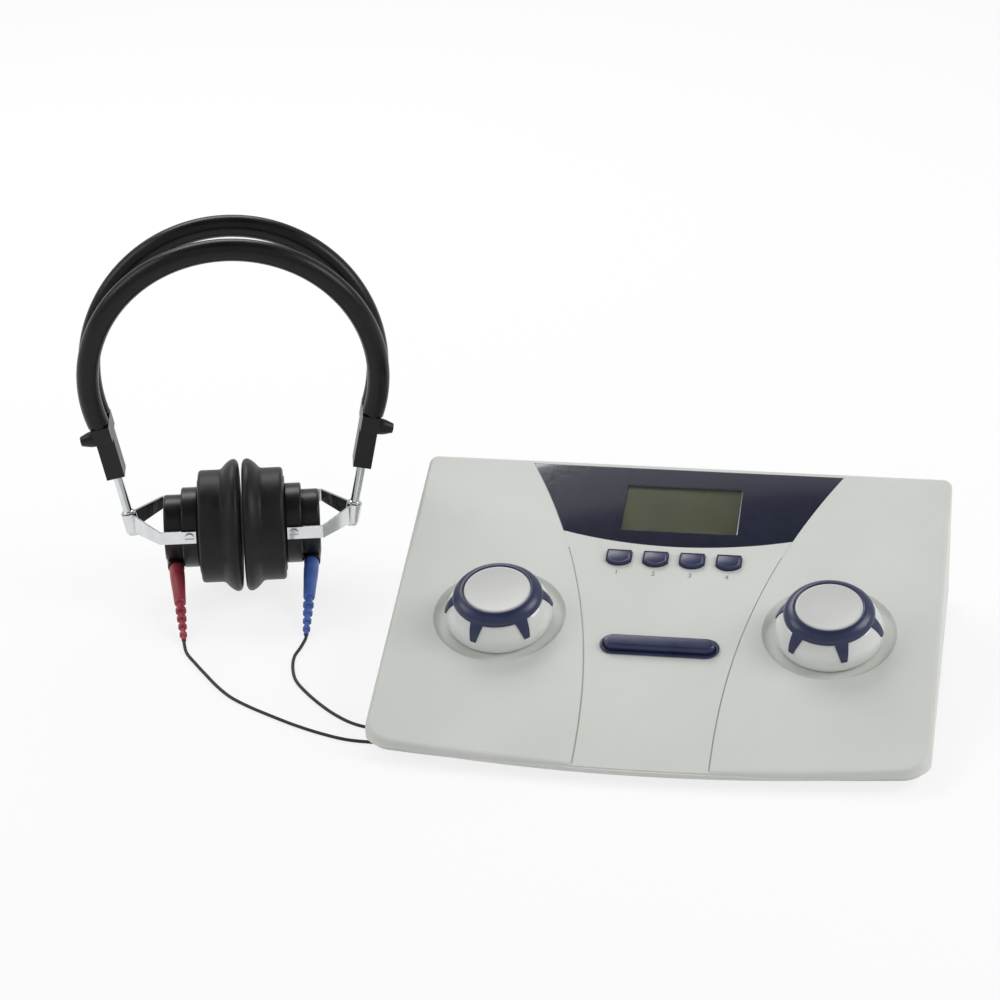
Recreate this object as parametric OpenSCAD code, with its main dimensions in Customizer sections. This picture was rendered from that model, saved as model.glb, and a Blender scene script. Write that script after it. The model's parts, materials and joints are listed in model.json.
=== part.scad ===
// Desk audiometer: a wedge-shaped console with a twin-band headset on two thin leads.
// Millimetres, +Z up, everything stands on z = 0.
// The model's own origin is the centre of the floor area that the console and the headset cover.

/* [Console housing] */
// Width of the console
console_w = 285; // [265:1:300]
// Depth of the console at its front corners
console_d = 211; // [202:1:222]
// Height of the top face over the desk at its front corners
front_h = 11; // [10:0.5:14]
// Slope of the top face, in degrees
slope = 16.2; // [15:0.1:18]
// How far the front edge bows towards the user
front_bow = 11; // [7:1:14]
// Radius of the two front corners
front_corner_r = 16; // [10:1:22]
// Radius of the two rear corners
rear_corner_r = 5; // [4:0.5:8]
// Wall of the top housing
wall = 3; // [2.6:0.1:3.4]
// Height of the joint between the top and the base housing
joint_z = 7; // [6.5:0.1:8]
// Floor of the base housing
floor_t = 2.5; // [2:0.1:3]
// Wall of the base housing's rim
rim_t = 2; // [1.6:0.1:2.6]
// How far the base's rim reaches up inside the top housing
rim_lap = 3; // [2:0.5:4]
// Gap between the two housings
lid_gap = 0.3; // [0.2:0.05:0.5]
// How far the centre panel lies under the rest of the top face
panel_step = 0.6; // [0.4:0.1:0.9]
// Half width of the centre panel at the front
seam_front = 34.6; // [32:0.2:37]
// How much wider each side of the centre panel is at the rear
seam_flare = 52; // [46:1:56]

/* [Feet and screws] */
// Height of the gap under the base
foot_h = 4; // [3.5:0.1:5]
// Diameter of a rubber foot
foot_d = 14; // [11:0.5:16]
// Depth of the pocket that holds a foot
foot_pocket = 1; // [0.6:0.1:1.4]
// Half distance between the feet, across
foot_x = 120; // [114:1:124]
// Distance of the front feet from the console's middle
foot_front_y = 60; // [52:1:64]
// Distance of the rear feet from the console's middle
foot_rear_y = 88; // [82:1:92]
// Diameter of a housing screw's shank
screw_d = 3; // [2.5:0.1:3.5]
// Diameter of a housing screw's head
screw_head_d = 5.6; // [5:0.1:6.4]
// Height of a housing screw's head
screw_head_h = 1.8; // [1.4:0.1:2.2]
// Length of a housing screw's shank
screw_l = 8; // [6:0.5:8.5]
// Diameter of a post that takes a housing screw
post_d = 8; // [7:0.5:9]

/* [Display] */
// Distance along the slope from the window's lower corners to the top face's rear edge
window_back = 57; // [55:0.1:60]
// Length of the window's side along the slope
window_l = 53.6; // [50:0.2:54]
// How far the window's lower edge bows towards the user
window_bow = 8.8; // [5:0.2:10]
// Thickness of the window
window_t = 1.4; // [1:0.1:1.6]
// Width of the liquid crystal cell's visible face
lcd_w = 62; // [56:1:68]
// Length of the liquid crystal cell's visible face along the slope
lcd_l = 36; // [32:1:38]
// Thickness of the liquid crystal cell
lcd_t = 2.6; // [2:0.1:3]
// Distance along the slope from the window's lower corners to the cell's middle
lcd_up = 21.3; // [19.5:0.1:23]
// Width of the seal between the window's frame and the cell
lcd_margin = 3; // [2:0.5:4]

/* [Keys] */
// Distance between neighbouring keys
key_pitch = 19.4; // [18:0.1:21]
// Distance along the slope from the keys' middle to the window's lower corners
key_under = 19.7; // [18.8:0.1:21.5]
// Width of a key
key_w = 13; // [11:0.5:14]
// Length of a key along the slope
key_l = 10.6; // [9:0.2:11.4]
// Height of a key over the centre panel
key_rise = 2.4; // [2:0.1:3]
// Travel of a key
key_travel = 1; // [0.6:0.1:1.2]
// Gap round a key
key_gap = 0.4; // [0.35:0.05:0.6]
// Width of a key switch on the board
switch_w = 6; // [5:0.5:7]
// Height of a key switch on the board
switch_h = 3.6; // [3.4:0.1:4]

/* [Tone bar] */
// Length of the tone bar
tone_l = 57.5; // [52:0.5:60]
// Width of the tone bar
tone_w = 9.6; // [9:0.2:11]
// Height of the tone bar over the centre panel
tone_rise = 4.2; // [3.6:0.1:5]
// Distance along the slope from the front corners to the tone bar's middle
tone_v = 77.5; // [75:0.5:80]
// Travel of the tone bar
tone_travel = 1.5; // [1:0.1:1.6]
// Width of the bezel's flange round the bar
tone_flange = 2.2; // [1.8:0.1:2.8]
// Half distance between the two switches under the tone bar
tone_switch_x = 18; // [14:0.5:22]

/* [Knobs] */
// Distance of a knob's axis from the console's middle
knob_x = 85.7; // [83:0.1:87]
// Distance along the slope from the front corners to the knobs' axes
knob_v = 94.5; // [92:0.5:97]
// Radius of a knob's body at its widest
knob_r = 28; // [26.5:0.5:29]
// Height of a knob's cap over the top face
knob_h = 18.4; // [17:0.2:20]
// Radius of the navy ring
ring_r = 23.3; // [22.5:0.1:24]
// Radius of the pale cap
cap_r = 17.4; // [16:0.2:18]
// Width of a tab on the navy ring
tab_w = 7; // [5:0.5:8]
// Height over the top face of the lower end of a tab
tab_low = 5; // [4:0.5:7]
// Number of tabs on the navy ring
tab_n = 6; // [4:1:8]
// Radius of the dish round a knob
dish_r = 35; // [33:0.5:36.5]
// Depth of the dish round a knob
dish_depth = 2.5; // [2:0.1:3]
// Diameter of an encoder's shaft
shaft_d = 6; // [5:0.5:6.5]
// Running clearance of a shaft, on the radius
running = 0.05; // [0.03:0.01:0.08]

/* [Boards] */
// Depth of the panel board's face under the top face
board_depth = 12; // [11.8:0.1:12.6]
// Thickness of both boards
board_t = 1.6; // [1.2:0.1:2]
// Half width of the panel board
panel_board_x = 112; // [110:1:116]
// Distance along the slope from the front corners to the panel board's near edge
panel_board_low = 66; // [64:1:70]
// Distance along the slope from the panel board's far edge to the top face's rear edge
panel_board_back = 14.7; // [13.7:0.1:16.7]
// Width of an encoder's housing
encoder_w = 15; // [13:0.5:16]
// Width of the main board
main_board_w = 176; // [170:1:184]
// Depth of the main board
main_board_d = 92; // [84:1:96]
// Height of the main board's upper face over the desk
main_board_z = 18; // [17:0.2:18.4]

/* [Rear panel] */
// Width of the opening in the rear wall
rear_w = 180; // [172:1:190]
// Height of the opening in the rear wall
rear_h = 26; // [24:0.5:28]
// Height of the sockets' axes over the desk
socket_z = 26; // [25.5:0.1:27]
// Thickness of the rear panel
rear_t = 2; // [1.6:0.1:2.4]
// How far the rear panel reaches past the opening
rear_lap = 4; // [3:0.5:5]
// Distance of the headset socket's axis from the end of the main board
headset_socket_in = 18; // [14:1:20]
// Distance of the response socket from the console's middle
response_socket_x = 42; // [38:1:46]
// Bore of a jack socket
jack_bore = 6.5; // [6.45:0.01:6.55]
// Diameter of a jack plug's sleeve
jack_d = 6.35; // [6.3:0.01:6.38]
// Length of a jack plug's contacts
jack_l = 31; // [29:0.5:32]
// Length of a jack socket's housing behind the rear panel
socket_l = 33; // [32.5:0.5:36]
// Width of a jack socket's housing
socket_w = 16; // [15:0.5:16]
// Distance of the power inlet's axis from the end of the main board
inlet_in = 18; // [14:1:20]
// Distance of the power switch from the console's middle
rocker_x = 40; // [36:1:44]
// Height of the power switch's rocker
rocker_h = 14.6; // [13:0.2:15]
// Width of the power switch's rocker
rocker_w = 11; // [9:0.5:12]
// Tilt of the rocker either side of its middle, in degrees
rocker_tilt = 9; // [7:0.5:10]

/* [Headset bands] */
// Distance of the headset's middle to the left of the console's middle
headset_x = 244; // [240:1:250]
// Distance of the headset's middle behind the console's middle
headset_y = 77.5; // [74:0.5:80]
// How far the headset is turned, in degrees
headset_yaw = 12.5; // [11:0.5:14]
// Radius of a band's arc
band_r = 78; // [76:0.5:82]
// Diameter of a band's padding
band_d = 12; // [10:0.5:12.5]
// Height of the bands' middle over the desk
band_z = 128; // [126:0.5:131]
// Angle that a band runs on below its middle, in degrees
band_under = 18.5; // [17.5:0.5:19]
// Half distance between the bands at their ends
band_gap = 6.8; // [6.6:0.1:7.4]
// Splay of a band towards the front or rear, in degrees
band_splay = 6.2; // [5:0.2:8]
// Diameter of the spring wire in a band
wire_d = 3; // [2.5:0.1:3.5]
// Length of wire that stands in an end block
wire_tail = 6; // [5:0.5:7]

/* [Rods and yokes] */
// Diameter of a rod
rod_d = 5; // [4.5:0.1:5.4]
// Tilt of a rod, in degrees
rod_tilt = 11.5; // [11:0.1:12]
// Distance of a knuckle from the headset's middle
knuckle_x = 61; // [60:0.5:62]
// Height of the yokes' pivots over the desk
pivot_z = 41.5; // [40:0.5:43]
// Height of a knuckle along its rod
knuckle_h = 11; // [9:0.5:12]
// Outer diameter of a knuckle
knuckle_d = 8.4; // [7.8:0.1:9]
// Thickness of a yoke's strip
strip_t = 1.2; // [1:0.1:1.4]
// Height of a yoke's strip at its ends
strip_h = 7; // [6:0.5:8]
// Travel of a rod up into its block
rod_travel = 20; // [14:1:20]
// Length of a rod in its block at rest
rod_in = 13; // [10:0.5:14]
// Distance along a rod from the knuckle's middle to the block
block_from = 30; // [28:0.5:32]
// Length of an end block along its rod
block_l = 36; // [35:0.5:38]
// Width of an end block across the bands
block_w = 14; // [13:0.5:16]
// Thickness of an end block
block_t = 10; // [9:0.2:11]
// Distance along the rod from the block's lower end to its thumb screw
thumb_up = 23; // [21:0.5:25]
// Length of a thumb screw's head
thumb_l = 11; // [8:0.5:12]
// Diameter of a thumb screw's head
thumb_d = 9; // [7:0.5:10]

/* [Earphones] */
// Distance of a cushion's face from the headset's middle
face_gap = 0.8; // [0.6:0.1:1.2]
// Radius of a cushion's lip
lip_r = 36.5; // [35.5:0.5:37.5]
// Thickness of a cushion's lip
lip_t = 9; // [8:0.2:10]
// Radius of a cushion's body
body_r = 31; // [30:0.5:32]
// Length of a cushion's body
body_l = 13.4; // [12.6:0.2:14]
// Radius of the hole in a cushion
ear_hole_r = 11; // [9:0.5:13]
// Radius of an earphone's case
case_r = 22; // [21:0.5:22.5]
// Length of an earphone's case
case_l = 9.6; // [9:0.2:10.4]
// Radius of an earphone's back cap
back_r = 18.3; // [17:0.1:19]
// Length of an earphone's back cap
back_l = 9.8; // [9:0.2:10.4]
// Diameter of a pivot screw
pivot_d = 3; // [2.6:0.1:3.4]
// Diameter of a pivot screw's head
pivot_head_d = 5; // [4.4:0.1:5.6]

/* [Leads] */
// Diameter of a thin lead
lead_d = 1.8; // [1.6:0.1:1.9]
// Diameter of the trunk cord
trunk_d = 3.6; // [3.2:0.1:3.6]
// Slope of a boot towards the desk, in degrees
boot_drop = 16.5; // [16:0.1:17]
// How far a boot turns towards the headset's middle, in degrees
boot_turn = 4.5; // [3.5:0.5:5.5]
// Diameter of a boot at its earphone
boot_d = 8.2; // [7.4:0.1:8.6]
// Length of a boot's plain body
boot_body_l = 29.5; // [27:0.5:30]
// Length of a boot's ribbed tail
boot_tail_l = 29; // [28:0.2:29]
// Number of ribs on a boot's tail
boot_ribs = 4; // [3:1:5]
// Radius of the outermost turn of the trunk coil
coil_r = 32; // [31:0.5:33]
// Number of whole turns in the trunk coil
coil_turns = 10; // [8:1:11]
// Gap between neighbouring turns of the trunk coil
coil_gap = 0.5; // [0.5:0.1:0.8]

/* [Hidden] */
$fn = 48;
eps = 0.01;
far = 400;
seat = 0.3;

// Colours of the finishes
housing_grey = "#D5D7D2";
navy = "#2B3150";
cap_white = "#E4E5E2";
rubber_black = "#1D1D1F";
case_black = "#27272A";
chrome_grey = "#C9CCD0";
steel_grey = "#9DA1A6";
board_green = "#2F5F42";
metal_gold = "#B8A36A";

// Derived sizes of the console
half_w = console_w / 2;
half_d = console_d / 2;
slope_l = console_d / cos(slope);
bow_r = (half_w * half_w + front_bow * front_bow) / (2 * front_bow);
bow_y = bow_r - half_d - front_bow;
base_inset = wall + lid_gap;
window_low = slope_l - window_back;
lcd_v = window_low + lcd_up;
key_v = window_low - key_under;
panel_board_high = slope_l - panel_board_back;
panel_h = -panel_step;
rear_in_y = half_d - wall;
headset_socket_x = 0.5 * main_board_w - headset_socket_in;
inlet_x = 0.5 * main_board_w - inlet_in;

// Derived sizes of the headset, measured outwards from its middle plane
lip_end = face_gap + lip_t;
body_end = lip_end + body_l;
case_end = body_end + case_l;
back_end = case_end + back_l;
ear_z = lip_r;
pivot_x = body_end + 0.5 * case_l + 0.4;
arm_in = case_r + 1;
block_tail = block_from + block_l;

// The corner of the floor area that the whole object covers, from the console's middle
lip_widest = face_gap + 5.2;
thumb_tip_r = 0.42 * thumb_d;
tip_reach = thumb_tip_r * sqrt(1 - pow(cos(rod_tilt) * cos(headset_yaw), 2));
left_reach = headset_x + thumb_reach() * cos(headset_yaw) + tip_reach;
rear_reach = headset_y + lip_r * cos(headset_yaw) + lip_widest * sin(headset_yaw);
origin_x = 0.5 * (half_w - left_reach);
origin_y = 0.5 * (rear_reach - half_d - front_bow);

function rod_line(q) = [knuckle_x + q * sin(rod_tilt), pivot_z + q * cos(rod_tilt)];
function thumb_reach() =
  rod_line(block_from + thumb_up)[0] + (0.5 * block_t + thumb_l) * cos(rod_tilt);

// ---------- placing ----------

// Puts the console's frame where the model's origin wants it
module in_place() {
  translate([-origin_x, -origin_y, 0]) children();
}

// x across, v along the slope from the front corners, h up from the top face
module on_top(x, v, h = 0) {
  translate([0, -half_d, front_h]) rotate([slope, 0, 0]) translate([x, v, h]) children();
}

// All that lies deeper than a given depth under the top face
module under_top(depth) {
  on_top(-far, -far, -depth - far) cube([2 * far, 3 * far, far]);
}

// The headset's frame: x along its ears, y to its rear, z up from the desk
module in_headset() {
  in_place() translate([-headset_x, headset_y, 0]) rotate([0, 0, headset_yaw]) children();
}

// side is -1 for the left ear and 1 for the right ear, and x then points outwards
module on_side(side) {
  in_headset() mirror([side < 0 ? 1 : 0, 0, 0]) children();
}

// An earphone's axis: z runs outwards from the headset's middle plane
module on_ear_axis() {
  translate([0, 0, ear_z]) rotate([0, 90, 0]) children();
}

// A rod's axis: z runs up the rod from the middle of the knuckle
module on_rod() {
  translate([knuckle_x, 0, pivot_z]) rotate([0, rod_tilt, 0]) children();
}

// A boot's axis: z runs from the earphone to the lead
boot_from = [case_end + 0.5 * boot_d + 0.3, -12, 18.1];
module on_boot() {
  translate(boot_from) rotate([0, 0, -boot_turn]) rotate([90 + boot_drop, 0, 0]) children();
}

// ---------- outlines ----------

function arc(c, r, a, b, n) =
  [for (i = [0:n]) [c[0] + r * cos(a + (b - a) * i / n), c[1] + r * sin(a + (b - a) * i / n)]];

// The console's plan, drawn in by a given distance
function plan(inset) =
  let (
    hw = half_w - inset,
    big = bow_r - inset,
    fr = max(front_corner_r - inset, 1),
    rr = max(rear_corner_r - inset, 0.5),
    fy = bow_y - sqrt(pow(big - fr, 2) - pow(hw - fr, 2)),
    turn = atan2(fy - bow_y, hw - fr)
  )
  concat(
    arc([0, bow_y], big, -180 - turn, turn, 14),
    arc([hw - fr, fy], fr, turn, 0, 8),
    arc([hw - rr, half_d - inset - rr], rr, 0, 90, 4),
    arc([rr - hw, half_d - inset - rr], rr, 90, 180, 4),
    arc([fr - hw, fy], fr, 180, 360 - 180 - turn, 8)
  );

// Half width of the centre panel at a distance v along the slope
function seam(v) = seam_front + seam_flare * pow(max(v, 0) / slope_l, 2.2);

// The centre panel, from v = a to v = b
function panel_outline(a, b, inset, n) =
  concat(
    [for (i = [0:n]) let (v = a + (b - a) * i / n) [seam(v) - inset, v]],
    [for (i = [n:-1:0]) let (v = a + (b - a) * i / n) [inset - seam(v), v]]
  );

// The window, between the seams, with its lower edge bowed
function window_outline(inset) =
  let (
    low = window_low,
    high = window_low + window_l,
    half = seam(low) - inset,
    r = (half * half + window_bow * window_bow) / (2 * window_bow),
    turn = asin(half / r),
    n = 8
  )
  concat(
    arc([0, low - window_bow + inset + r], r, -90 - turn, -90 + turn, 14),
    [for (i = [1:n]) let (v = low + (high - inset - low) * i / n) [seam(v) - inset, v]],
    [for (i = [n:-1:1]) let (v = low + (high - inset - low) * i / n) [inset - seam(v), v]]
  );

module key_outline(grow) {
  intersection() {
    square([key_w + 2 * grow, key_l + 2 * grow], center = true);
    translate([0, 0.27 * key_l]) circle(r = 0.77 * key_l + grow);
  }
}

module slot_outline(l, w) {
  square([l - w, w], center = true);
  for (x = [-1, 1]) translate([x * 0.5 * (l - w), 0]) circle(d = w);
}

// ---------- console housing ----------

foot_places = [
  for (x = [-1, 1], y = [-foot_front_y, foot_rear_y]) [x * foot_x, y]
];
screw_places = [
  for (x = [-1, 1]) for (p = [[0.9 * half_w, 64], [0.9 * half_w, -28], [0.35 * half_w, -86]])
    [x * p[0], p[1]]
];
boss_top = foot_h + 5;
board_post_d = 7;
board_post_places = [
  for (x = [-1, 1], p = [
    [panel_board_x - 15, panel_board_high - 19], [panel_board_x - 64, panel_board_low + 47]
  ]) [x * p[0], p[1]]
];

module top_shell() {
  color(housing_grey) in_place() difference() {
    union() {
      difference() {
        intersection() {
          translate([0, 0, joint_z]) linear_extrude(far) polygon(plan(0));
          under_top(0);
        }
        intersection() {
          translate([0, 0, joint_z - 1]) linear_extrude(far) polygon(plan(wall));
          under_top(wall);
        }
      }
      intersection() {
        translate([0, 0, joint_z]) linear_extrude(far) polygon(plan(wall));
        under_top(panel_step + 1);
        union() {
          for (x = [-1, 1])
            on_top(x * knob_x, knob_v, -dish_depth - wall) cylinder(r = dish_r + 2, h = wall + 1);
          for (p = board_post_places)
            on_top(p[0], p[1], -board_depth) cylinder(d = board_post_d, h = board_depth - 1);
        }
      }
      intersection() {
        for (p = screw_places)
          translate([p[0], p[1], boss_top]) cylinder(d = post_d, h = far);
        under_top(1);
      }
    }
    on_top(0, 0, -panel_step) linear_extrude(far) polygon(panel_outline(-25, slope_l + 10, 0, 26));
    on_top(0, 0, panel_h - window_t) linear_extrude(far) polygon(window_outline(0.2));
    on_top(0, lcd_v, -wall - 1)
      linear_extrude(wall) square([lcd_w + 2 * lcd_margin, lcd_l + 2 * lcd_margin], center = true);
    for (i = [0:3])
      on_top((i - 1.5) * key_pitch, key_v, -2 * wall) linear_extrude(far) key_outline(key_gap);
    on_top(0, tone_v, -2 * wall) linear_extrude(far) slot_outline(tone_hole_l, tone_hole_w);
    for (x = [-1, 1]) on_top(x * knob_x, knob_v, -dish_depth) {
      cylinder(r1 = dish_r - 4, r2 = dish_r, h = dish_depth + eps);
      translate([0, 0, -2 * wall]) cylinder(r = bushing_r + 0.3, h = 3 * wall);
    }
    for (p = board_post_places)
      on_top(p[0], p[1], -board_depth - 1) cylinder(d = board_screw_d + 0.1, h = 9);
    for (p = screw_places)
      translate([p[0], p[1], boss_top - 1]) cylinder(d = screw_d + 0.1, h = screw_post_depth(p[1]));
    translate([-0.5 * rear_w, rear_in_y - 1, socket_z - 0.5 * rear_h])
      cube([rear_w, wall + 2, rear_h]);
  }
}

// A post's hole stops short of the top face
function screw_post_depth(y) =
  min(screw_l - 1, front_h + (y + half_d) * tan(slope) - wall - boss_top + 1.6);

module base_shell() {
  color(housing_grey) in_place() difference() {
    union() {
      intersection() {
        difference() {
          translate([0, 0, foot_h]) linear_extrude(joint_z + rim_lap - foot_h)
            polygon(plan(base_inset));
          translate([0, 0, foot_h + floor_t]) linear_extrude(far)
            polygon(plan(base_inset + rim_t));
        }
        under_top(wall + lid_gap);
      }
      for (p = screw_places)
        translate([p[0], p[1], foot_h]) cylinder(d = post_d + 2, h = boss_top - foot_h);
      for (p = main_post_places)
        translate([p[0], p[1], foot_h + eps])
          cylinder(d = board_post_d, h = main_board_z - board_t - foot_h - eps);
    }
    for (p = foot_places) translate([p[0], p[1], foot_h - 1])
      cylinder(d = foot_d + 2 * running, h = 1 + foot_pocket);
    for (p = screw_places) translate([p[0], p[1], foot_h - 1]) {
      cylinder(d = screw_d + 0.4, h = 10);
      cylinder(d = screw_head_d + 0.6, h = 1 + screw_head_h + 0.5);
    }
    for (p = main_post_places)
      translate([p[0], p[1], main_board_z - board_t - 7]) cylinder(d = board_screw_d + 0.1, h = 9);
  }
}

module feet() {
  color(rubber_black) in_place() for (p = foot_places)
    translate([p[0], p[1], 0]) cylinder(d = foot_d, h = foot_h + foot_pocket);
}

module housing_screws() {
  color(steel_grey) in_place() for (p = screw_places)
    translate([p[0], p[1], foot_h + 0.5]) difference() {
      union() {
        cylinder(d = screw_head_d, h = screw_head_h);
        cylinder(d = screw_d, h = screw_shank(p[1]));
      }
      translate([0, 0, -eps]) cylinder(d = 2.4, h = 1, $fn = 6);
    }
}

// A housing screw's tip stays inside its post's hole
function screw_shank(y) = boss_top - foot_h - 1.5 + screw_post_depth(y) - 0.5;

// ---------- display ----------

module display_window() {
  color(navy) in_place() on_top(0, 0, panel_h - window_t)
    linear_extrude(window_t) polygon(window_outline(0.4));
}

module lcd_cell() {
  color("#6E7468") in_place() {
    on_top(0, lcd_v, panel_h - window_t - lcd_t - 0.1)
      linear_extrude(lcd_t) square([lcd_w + 4, lcd_l + 4], center = true);
    on_top(0, lcd_v, -board_depth) difference() {
      linear_extrude(board_depth + panel_h - window_t - lcd_t - 0.1)
        square([lcd_w + 2, lcd_l + 2], center = true);
      translate([0, 0, -1]) linear_extrude(board_depth - window_t - lcd_t - 2)
        square([lcd_w - 4, lcd_l - 4], center = true);
    }
  }
}

// ---------- boards ----------

board_screw_d = 2.8;
board_screw_head = 5;

module panel_board() {
  color(board_green) in_place() on_top(0, 0, -board_depth - board_t) difference() {
    translate([-panel_board_x, panel_board_low, 0])
      cube([2 * panel_board_x, panel_board_high - panel_board_low, board_t]);
    for (p = board_post_places)
      translate([p[0], p[1], -1]) cylinder(d = board_screw_d + 0.3, h = board_t + 2);
  }
}

// The rear posts stand in front of the sockets, which sit on the board
main_board_y = rear_in_y - rear_t - main_board_d - 1;
main_post_in = 6;
main_post_places = [
  for (x = [-1, 1], y = [main_post_in, main_board_d - socket_l - main_post_in])
    [x * (0.5 * main_board_w - main_post_in), main_board_y + y]
];
processor_w = 0.25 * main_board_d;
capacitor_d = 0.11 * main_board_d;

module main_board() {
  color(board_green) in_place() translate([0, main_board_y, main_board_z - board_t]) difference() {
    union() {
      translate([-0.5 * main_board_w, 0, 0]) cube([main_board_w, main_board_d, board_t]);
      // The larger parts soldered on the board
      translate([-0.8 * processor_w, 0.6 * processor_w, 0])
        cube([processor_w, processor_w, 2 * board_t]);
      translate([0.6 * processor_w, 0.6 * processor_w, 0])
        cube([0.6 * processor_w, 0.4 * processor_w, 2 * board_t]);
      for (k = [4, 5.4]) translate([k * capacitor_d, 2 * capacitor_d, 0])
        cylinder(d = capacitor_d, h = board_t + 0.9 * capacitor_d);
    }
    for (p = main_post_places)
      translate([p[0], p[1] - main_board_y, -1]) cylinder(d = board_screw_d + 0.3, h = board_t + 2);
    // The notch for the power switch's housing
    translate([rocker_x - 0.5 * rocker_w - 3, panel_y - rocker_depth - 1 - main_board_y, -1])
      cube([rocker_w + 6, rocker_depth + 9, board_t + 2]);
  }
}

module board_screw() {
  cylinder(d = board_screw_head, h = 1.6);
  translate([0, 0, -board_t - 5]) cylinder(d = board_screw_d, h = board_t + 5 + eps);
}

module board_screws() {
  color(steel_grey) in_place() {
    for (p = board_post_places)
      on_top(p[0], p[1], -board_depth - board_t) mirror([0, 0, 1]) board_screw();
    for (p = main_post_places) translate([p[0], p[1], main_board_z]) board_screw();
  }
}

// ---------- keys ----------

// A key's collar lies under the skin, and its stem runs into its switch
collar_t = 1.5;
collar_top = -wall - seat;
stem_d = 3.4;
stem_in = 1;

module key(i) {
  color(navy) in_place() on_top((i - 1.5) * key_pitch, key_v, 0) {
    intersection() {
      translate([0, 0, collar_top - eps]) linear_extrude(panel_h + key_rise - collar_top + eps)
        key_outline(0);
      translate([0, 0, panel_h + key_rise - 30]) sphere(r = 30, $fn = 96);
    }
    translate([0, 0, collar_top - collar_t])
      linear_extrude(collar_t) square([key_w + 3, key_l + 2.4], center = true);
    translate([0, 0, -board_depth + switch_h - stem_in])
      cylinder(d = stem_d, h = board_depth - switch_h + stem_in + collar_top - 0.5);
  }
}

module switch_body(h, travel) {
  difference() {
    translate([-0.5 * switch_w, -0.5 * switch_w, 0]) cube([switch_w, switch_w, h]);
    translate([0, 0, h - stem_in - travel - 0.4]) cylinder(d = stem_d + 0.6, h = h);
  }
}

module key_switches() {
  color(case_black) in_place() for (i = [0:3])
    on_top((i - 1.5) * key_pitch, key_v, -board_depth) switch_body(switch_h, key_travel);
}

// ---------- tone bar ----------

tone_hole_l = tone_l + 2 * (key_gap + 1.2);
tone_hole_w = tone_w + 2 * (key_gap + 1.2);

module tone_bezel() {
  color(navy) in_place() on_top(0, tone_v, 0) difference() {
    union() {
      translate([0, 0, -wall]) linear_extrude(wall + panel_h)
        slot_outline(tone_hole_l - 0.2, tone_hole_w - 0.2);
      translate([0, 0, panel_h]) linear_extrude(1.1)
        slot_outline(tone_l + 2 * tone_flange, tone_w + 2 * tone_flange);
    }
    translate([0, 0, -far / 2]) linear_extrude(far)
      slot_outline(tone_l + 2 * key_gap, tone_w + 2 * key_gap);
  }
}

module tone_bar() {
  color(navy) in_place() on_top(0, tone_v, 0) {
    intersection() {
      translate([0, 0, collar_top - eps]) linear_extrude(panel_h + tone_rise - collar_top + eps)
        slot_outline(tone_l, tone_w);
      translate([0, 0, panel_h + tone_rise - 9]) rotate([0, 90, 0])
        cylinder(r = 9, h = far, center = true);
    }
    translate([0, 0, collar_top - collar_t])
      linear_extrude(collar_t) slot_outline(tone_hole_l + 2, tone_hole_w);
    for (x = [-1, 1]) translate([x * tone_switch_x, 0, -board_depth + switch_h - stem_in])
      cylinder(d = stem_d, h = board_depth - switch_h + stem_in + collar_top - 0.5);
  }
}

module tone_switches() {
  color(case_black) in_place() for (x = [-1, 1])
    on_top(x * tone_switch_x, tone_v, -board_depth) switch_body(switch_h, tone_travel);
}

// ---------- knobs ----------

bushing_r = 4.5;
bushing_top = -1;
shelf_h = knob_h - 5.7;
seat_h = knob_h - 3.1;
knob_gap = 0.5;

// The knob's flank between its widest place and the ring
flank = [
  [knob_r - 1.2, knob_gap - dish_depth],
  [knob_r - 0.3, 0],
  [knob_r, 2.4],
  [knob_r - 0.4, 5],
  [knob_r - 1.6, 8],
  [knob_r - 3.4, 10.8],
  [ring_r - 0.3, shelf_h]
];

module knob_body() {
  difference() {
    rotate_extrude($fn = 96) polygon(concat(
      [[0, knob_gap - dish_depth]], flank,
      [[ring_r - 3.3, shelf_h], [ring_r - 3.3, seat_h], [0, seat_h]]
    ));
    rotate_extrude($fn = 96) polygon([
      [7, -dish_depth], [knob_r - 3.4, -dish_depth], [knob_r - 3.4, 4],
      [ring_r - 5, shelf_h - 2.5], [7, shelf_h - 2.5]
    ]);
    translate([0, 0, -dish_depth]) cylinder(r = 8, h = dish_depth + bushing_top + 0.5);
    cylinder(d = shaft_d + 0.04, h = shelf_h, center = true);
    translate([0, 0, -1]) cylinder(d = shaft_d + 0.04, h = seat_h - 1);
  }
}

module knob_ring() {
  rotate_extrude($fn = 96) polygon([
    [ring_r - 3.2, shelf_h + 0.1], [ring_r, shelf_h + 0.1], [ring_r + 0.1, shelf_h + 1.3],
    [ring_r - 1.1, knob_h - 2.2], [ring_r - 3.3, knob_h - 0.5], [cap_r + 1, knob_h],
    [cap_r + 0.1, knob_h - 0.1], [cap_r + 0.1, seat_h + 0.05], [ring_r - 3.2, seat_h + 0.05]
  ]);
  // Tabs lie on the knob's flank
  intersection() {
    rotate_extrude($fn = 96) polygon(concat(
      [for (p = flank) if (p[1] > 4) [p[0] + 0.05, p[1]]],
      [[ring_r - 0.25, shelf_h + 0.6], [ring_r + 0.1, shelf_h + 0.6]],
      [for (k = [len(flank) - 2:-1:0]) if (flank[k][1] > 4) [flank[k][0] + 0.75, flank[k][1]]]
    ));
    for (k = [0:tab_n - 1]) rotate([0, 0, -90 + k * 360 / tab_n]) rotate([90, 0, 90])
      linear_extrude(far) polygon([
        [-0.5 * tab_w, shelf_h + 2], [-0.5 * tab_w, shelf_h - 1], [-0.22 * tab_w, tab_low],
        [0.22 * tab_w, tab_low], [0.5 * tab_w, shelf_h - 1], [0.5 * tab_w, shelf_h + 2]
      ]);
  }
}

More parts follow.
